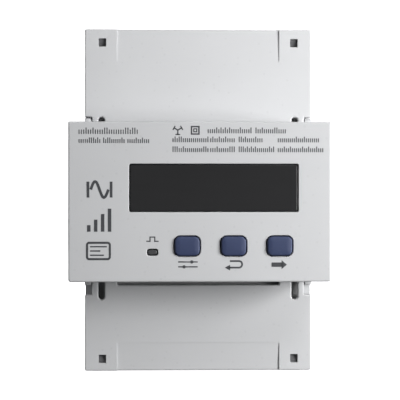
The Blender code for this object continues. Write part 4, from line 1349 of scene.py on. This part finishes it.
@dataclass
class Terminals:
    """Terminal blocks, connectors, clamp cages and every screw."""

    mains: tuple[tuple[End, int], ...] = ((End.UPPER, 4), (End.LOWER, 3))
    small: tuple[tuple[str, int], ...] = (("data", 2), ("sensor", 6))

    def build(self) -> None:
        """Make them."""
        for end, count in self.mains:
            block = f"{end.word}_terminal_block"
            fit(refined(f"{end.word}_block", block, 0.25), "case", Finish.BLOCK, block)
            for i in range(1, count + 1):
                cage = f"{end.word}_clamp_cage_{i}"
                fit(refined(f"{cage}_box", cage, 0.3), cage, Finish.ZINC, cage)
                ClampScrew().build(f"{end.word}_clamp_screw_{i}")
        for kind, count in self.small:
            body = f"{kind}_connector"
            fit(refined(f"{kind}_plug", body, 0.18), "case", Finish.GREEN, body)
            for i in range(1, count + 1):
                ConnectorScrew().build(f"{kind}_screw_{i}")


# ---------------------------------------------------------------- rear


@dataclass
class RailSide:
    """Rear shell, rail clip and the clip's spring."""

    radius: float = 1.35
    wire: float = 0.25
    turns: float = 6.5
    steps: int = 235
    sides: int = 10
    spring_y: float = 3.3
    keep: float = 0.58

    def spring(self) -> None:
        """Make the coil spring.

        Its wire's centre runs round a circle while it rises evenly, and a small circle is
        carried along it, across the tangent, with its radius drawn in to nothing at both ends.
        """
        low, high = node_box("rail_clip_spring")
        share = np.linspace(0.0, 1.0, self.steps)
        angle = math.tau * self.turns * share
        rise = (high[2] - low[2] - 2 * self.wire) * share
        zero = np.zeros_like(angle)
        outward = np.stack([np.cos(angle), np.sin(angle), zero], axis=1)
        centre = outward * self.radius + np.array([0.0, self.spring_y, low[2] + self.wire])
        centre[:, 2] += rise
        way = np.gradient(centre, axis=0)
        way /= np.linalg.norm(way, axis=1, keepdims=True)
        across = np.cross(way, outward)
        capped = [np.concatenate([each[:1], each, each[-1:]]) for each in (centre, outward, across)]
        centre, outward, across = capped
        radius = np.full(len(centre), self.wire)
        radius[[0, -1]] = 0.0
        turn = np.linspace(0, math.tau, self.sides, endpoint=False)[None, :, None]
        tube = np.cos(turn) * outward[:, None] + np.sin(turn) * across[:, None]
        skin = Skin("clip_spring")
        skin.grid(centre[:, None] + radius[:, None, None] * tube, wrap=True)
        thing = fit(skin.build(weighted=False), "case", Finish.ZINC, "rail_clip_spring")
        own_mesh(thing)

    def build(self) -> None:
        """Make the three pieces."""
        fit(refined("rear_shell", "base_case", width=0.22, least=7.0), "case", Finish.GREY, "base_case")
        fit(refined("clip_slide", "rail_clip", 0.3), "rail_clip", Finish.BLACK, "rail_clip")
        self.spring()


@dataclass
class InnerParts:
    """The CAD pieces inside the case that keep their shape and get their own finishes."""

    finishes: dict[Finish, tuple[str, ...]] = field(
        default_factory=lambda: {
            Finish.BLACK: (
                *(f"{key}_switch" for key in Keys.names),
                "power_transformer",
                "metering_chip",
                *(f"current_transformer_{i}" for i in PHASES),
            ),
            Finish.WHITE: (*(f"{key}_switch_plunger" for key in Keys.names), "lcd_holder", "board_link"),
            Finish.COPPER: (*(f"phase_bar_{i}" for i in PHASES), "neutral_bar"),
            Finish.BOARD: ("main_circuit_board", "display_circuit_board"),
            Finish.GLASS: ("lcd_glass",),
            Finish.LAMP: ("pulse_led",),
            Finish.SLEEVE: ("storage_capacitor",),
        }
    )

    def build(self) -> None:
        """Dress them."""
        for finish, nodes in self.finishes.items():
            material = finish.dress("inner")
            for node in nodes:
                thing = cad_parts[node]
                thing.data.materials.clear()
                thing.data.materials.append(material)
                log.info("%s is dressed as %s", node, finish.slot)


# ---------------------------------------------------------------- studio


@dataclass
class Studio:
    """Camera, pale floor and backdrop, and soft lights."""

    eye: tuple[float, float, float] = (-7.0, -335.4, 0.5)
    aim: tuple[float, float] = (0.0, -60.0)
    lens: float = 90.7
    floor_z: float = -50.5
    floor_reach: float = 2500.0
    dome_radius: float = 2400.0

    def camera(self) -> None:
        """Place the level camera in front of the panel."""
        data = bpy.data.cameras.new("camera")
        data.lens = self.lens
        data.sensor_width = 36.0
        data.clip_start = 0.01
        camera = bpy.data.objects.new("camera", data)
        yaw = math.atan2(self.aim[0] - self.eye[0], self.aim[1] - self.eye[1])
        camera.location = Vector(self.eye) * MM
        camera.rotation_euler = (QUARTER, 0.0, -yaw)
        bpy.context.scene.collection.objects.link(camera)
        bpy.context.scene.camera = camera

    def glow(self, name: str, colour: Colour, strength: float) -> bpy.types.Material:
        """Plain pale material that gives off a little light of its own."""
        shader = Shader(name)
        haze = shader.noise(400.0, 1.0)
        even = shader.mix(haze, shade(colour, 0.985), colour)
        return shader.finish(Base_Color=even, Roughness=0.9, Emission_Color=even, Emission_Strength=strength)

    def stage(self) -> None:
        """Make the floor and the backdrop dome, which light nothing."""
        floor = Skin("floor")
        reach = np.array([-self.floor_reach, self.floor_reach])
        floor.grid(Plane.FLAT.place(reach, reach[:, None], self.floor_z))
        dome = Skin("backdrop")
        tilt = np.linspace(-0.5, 0.5, 25) * math.pi
        radius, along = self.dome_radius * np.cos(tilt), self.dome_radius * np.sin(tilt)
        dome.turned(radius, along, (0.0, 0.0), Plane.FLAT, 48)
        for skin, colour, strength in ((floor, (0.9, 0.9, 0.9), 1.15), (dome, (1.0, 1.0, 1.0), 1.2)):
            thing = skin.build(weighted=False)
            thing.data.materials.append(self.glow(skin.name, colour, strength))
            for ray in ("diffuse", "glossy", "shadow", "transmission"):
                setattr(thing, f"visible_{ray}", False)
            thing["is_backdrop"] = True

    def lamp(self, name: str, place: Place, aim: Place, size: float, power: float) -> None:
        """Hang a square soft light, with its place and aim in millimetres."""
        data = bpy.data.lights.new(name, "AREA")
        data.size = size * MM
        data.energy = power
        thing = bpy.data.objects.new(name, data)
        thing.location = Vector(place) * MM
        thing.rotation_euler = (Vector(aim) - Vector(place)).to_track_quat("-Z", "Y").to_euler()
        bpy.context.scene.collection.objects.link(thing)

    def lights(self) -> None:
        """Hang the lights and set the even light of the room."""
        world = bpy.data.worlds.new("room")
        world.use_nodes = True
        backing = world.node_tree.nodes["Background"]
        backing.inputs["Color"].default_value = (0.97, 0.985, 1.0, 1.0)
        backing.inputs["Strength"].default_value = 0.1
        bpy.context.scene.world = world
        self.lamp("key", (300.0, -260.0, 40.0), (0.0, -45.0, 0.0), 170.0, 2.0)
        self.lamp("top", (150.0, -330.0, 380.0), (0.0, -45.0, 0.0), 250.0, 0.75)
        self.lamp("left", (-480.0, 60.0, 160.0), (0.0, -20.0, 0.0), 320.0, 1.5)
        self.lamp("back", (200.0, 620.0, 320.0), (0.0, 0.0, 0.0), 420.0, 3.2)

    def build(self) -> None:
        """Set up the studio."""
        self.camera()
        self.stage()
        self.lights()
        bpy.context.scene.view_settings.view_transform = "Standard"


def write_sizes() -> None:
    """Gather the CAD box and the visual model's box as lists; nothing is written."""
    boxes = [[list(corner) for corner in box] for box in (CAD_BOX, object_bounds())]


def main() -> None:
    """Build the studio and every piece of the meter."""
    logging.basicConfig(level=logging.INFO, format="%(name)s: %(message)s")
    Studio().build()
    FrontHousing().build()
    DisplayPane().build()
    LightPipe().build()
    Keys().build()
    PanelPrint().build()
    TerminalCover(
        End.UPPER, notch_end=24.8, slot_end=24.8, window_at=46.6, ramp_start=41.1, cut_back=None, reach=50.5
    ).build()
    TerminalCover(
        End.LOWER, notch_end=27.3, slot_end=28.7, window_at=46.0, ramp_start=41.3, cut_back=24.5, reach=49.5
    ).build()
    Terminals().build()
    RailSide().build()
    InnerParts().build()
    write_sizes()


if __name__ == "__main__":
    main()
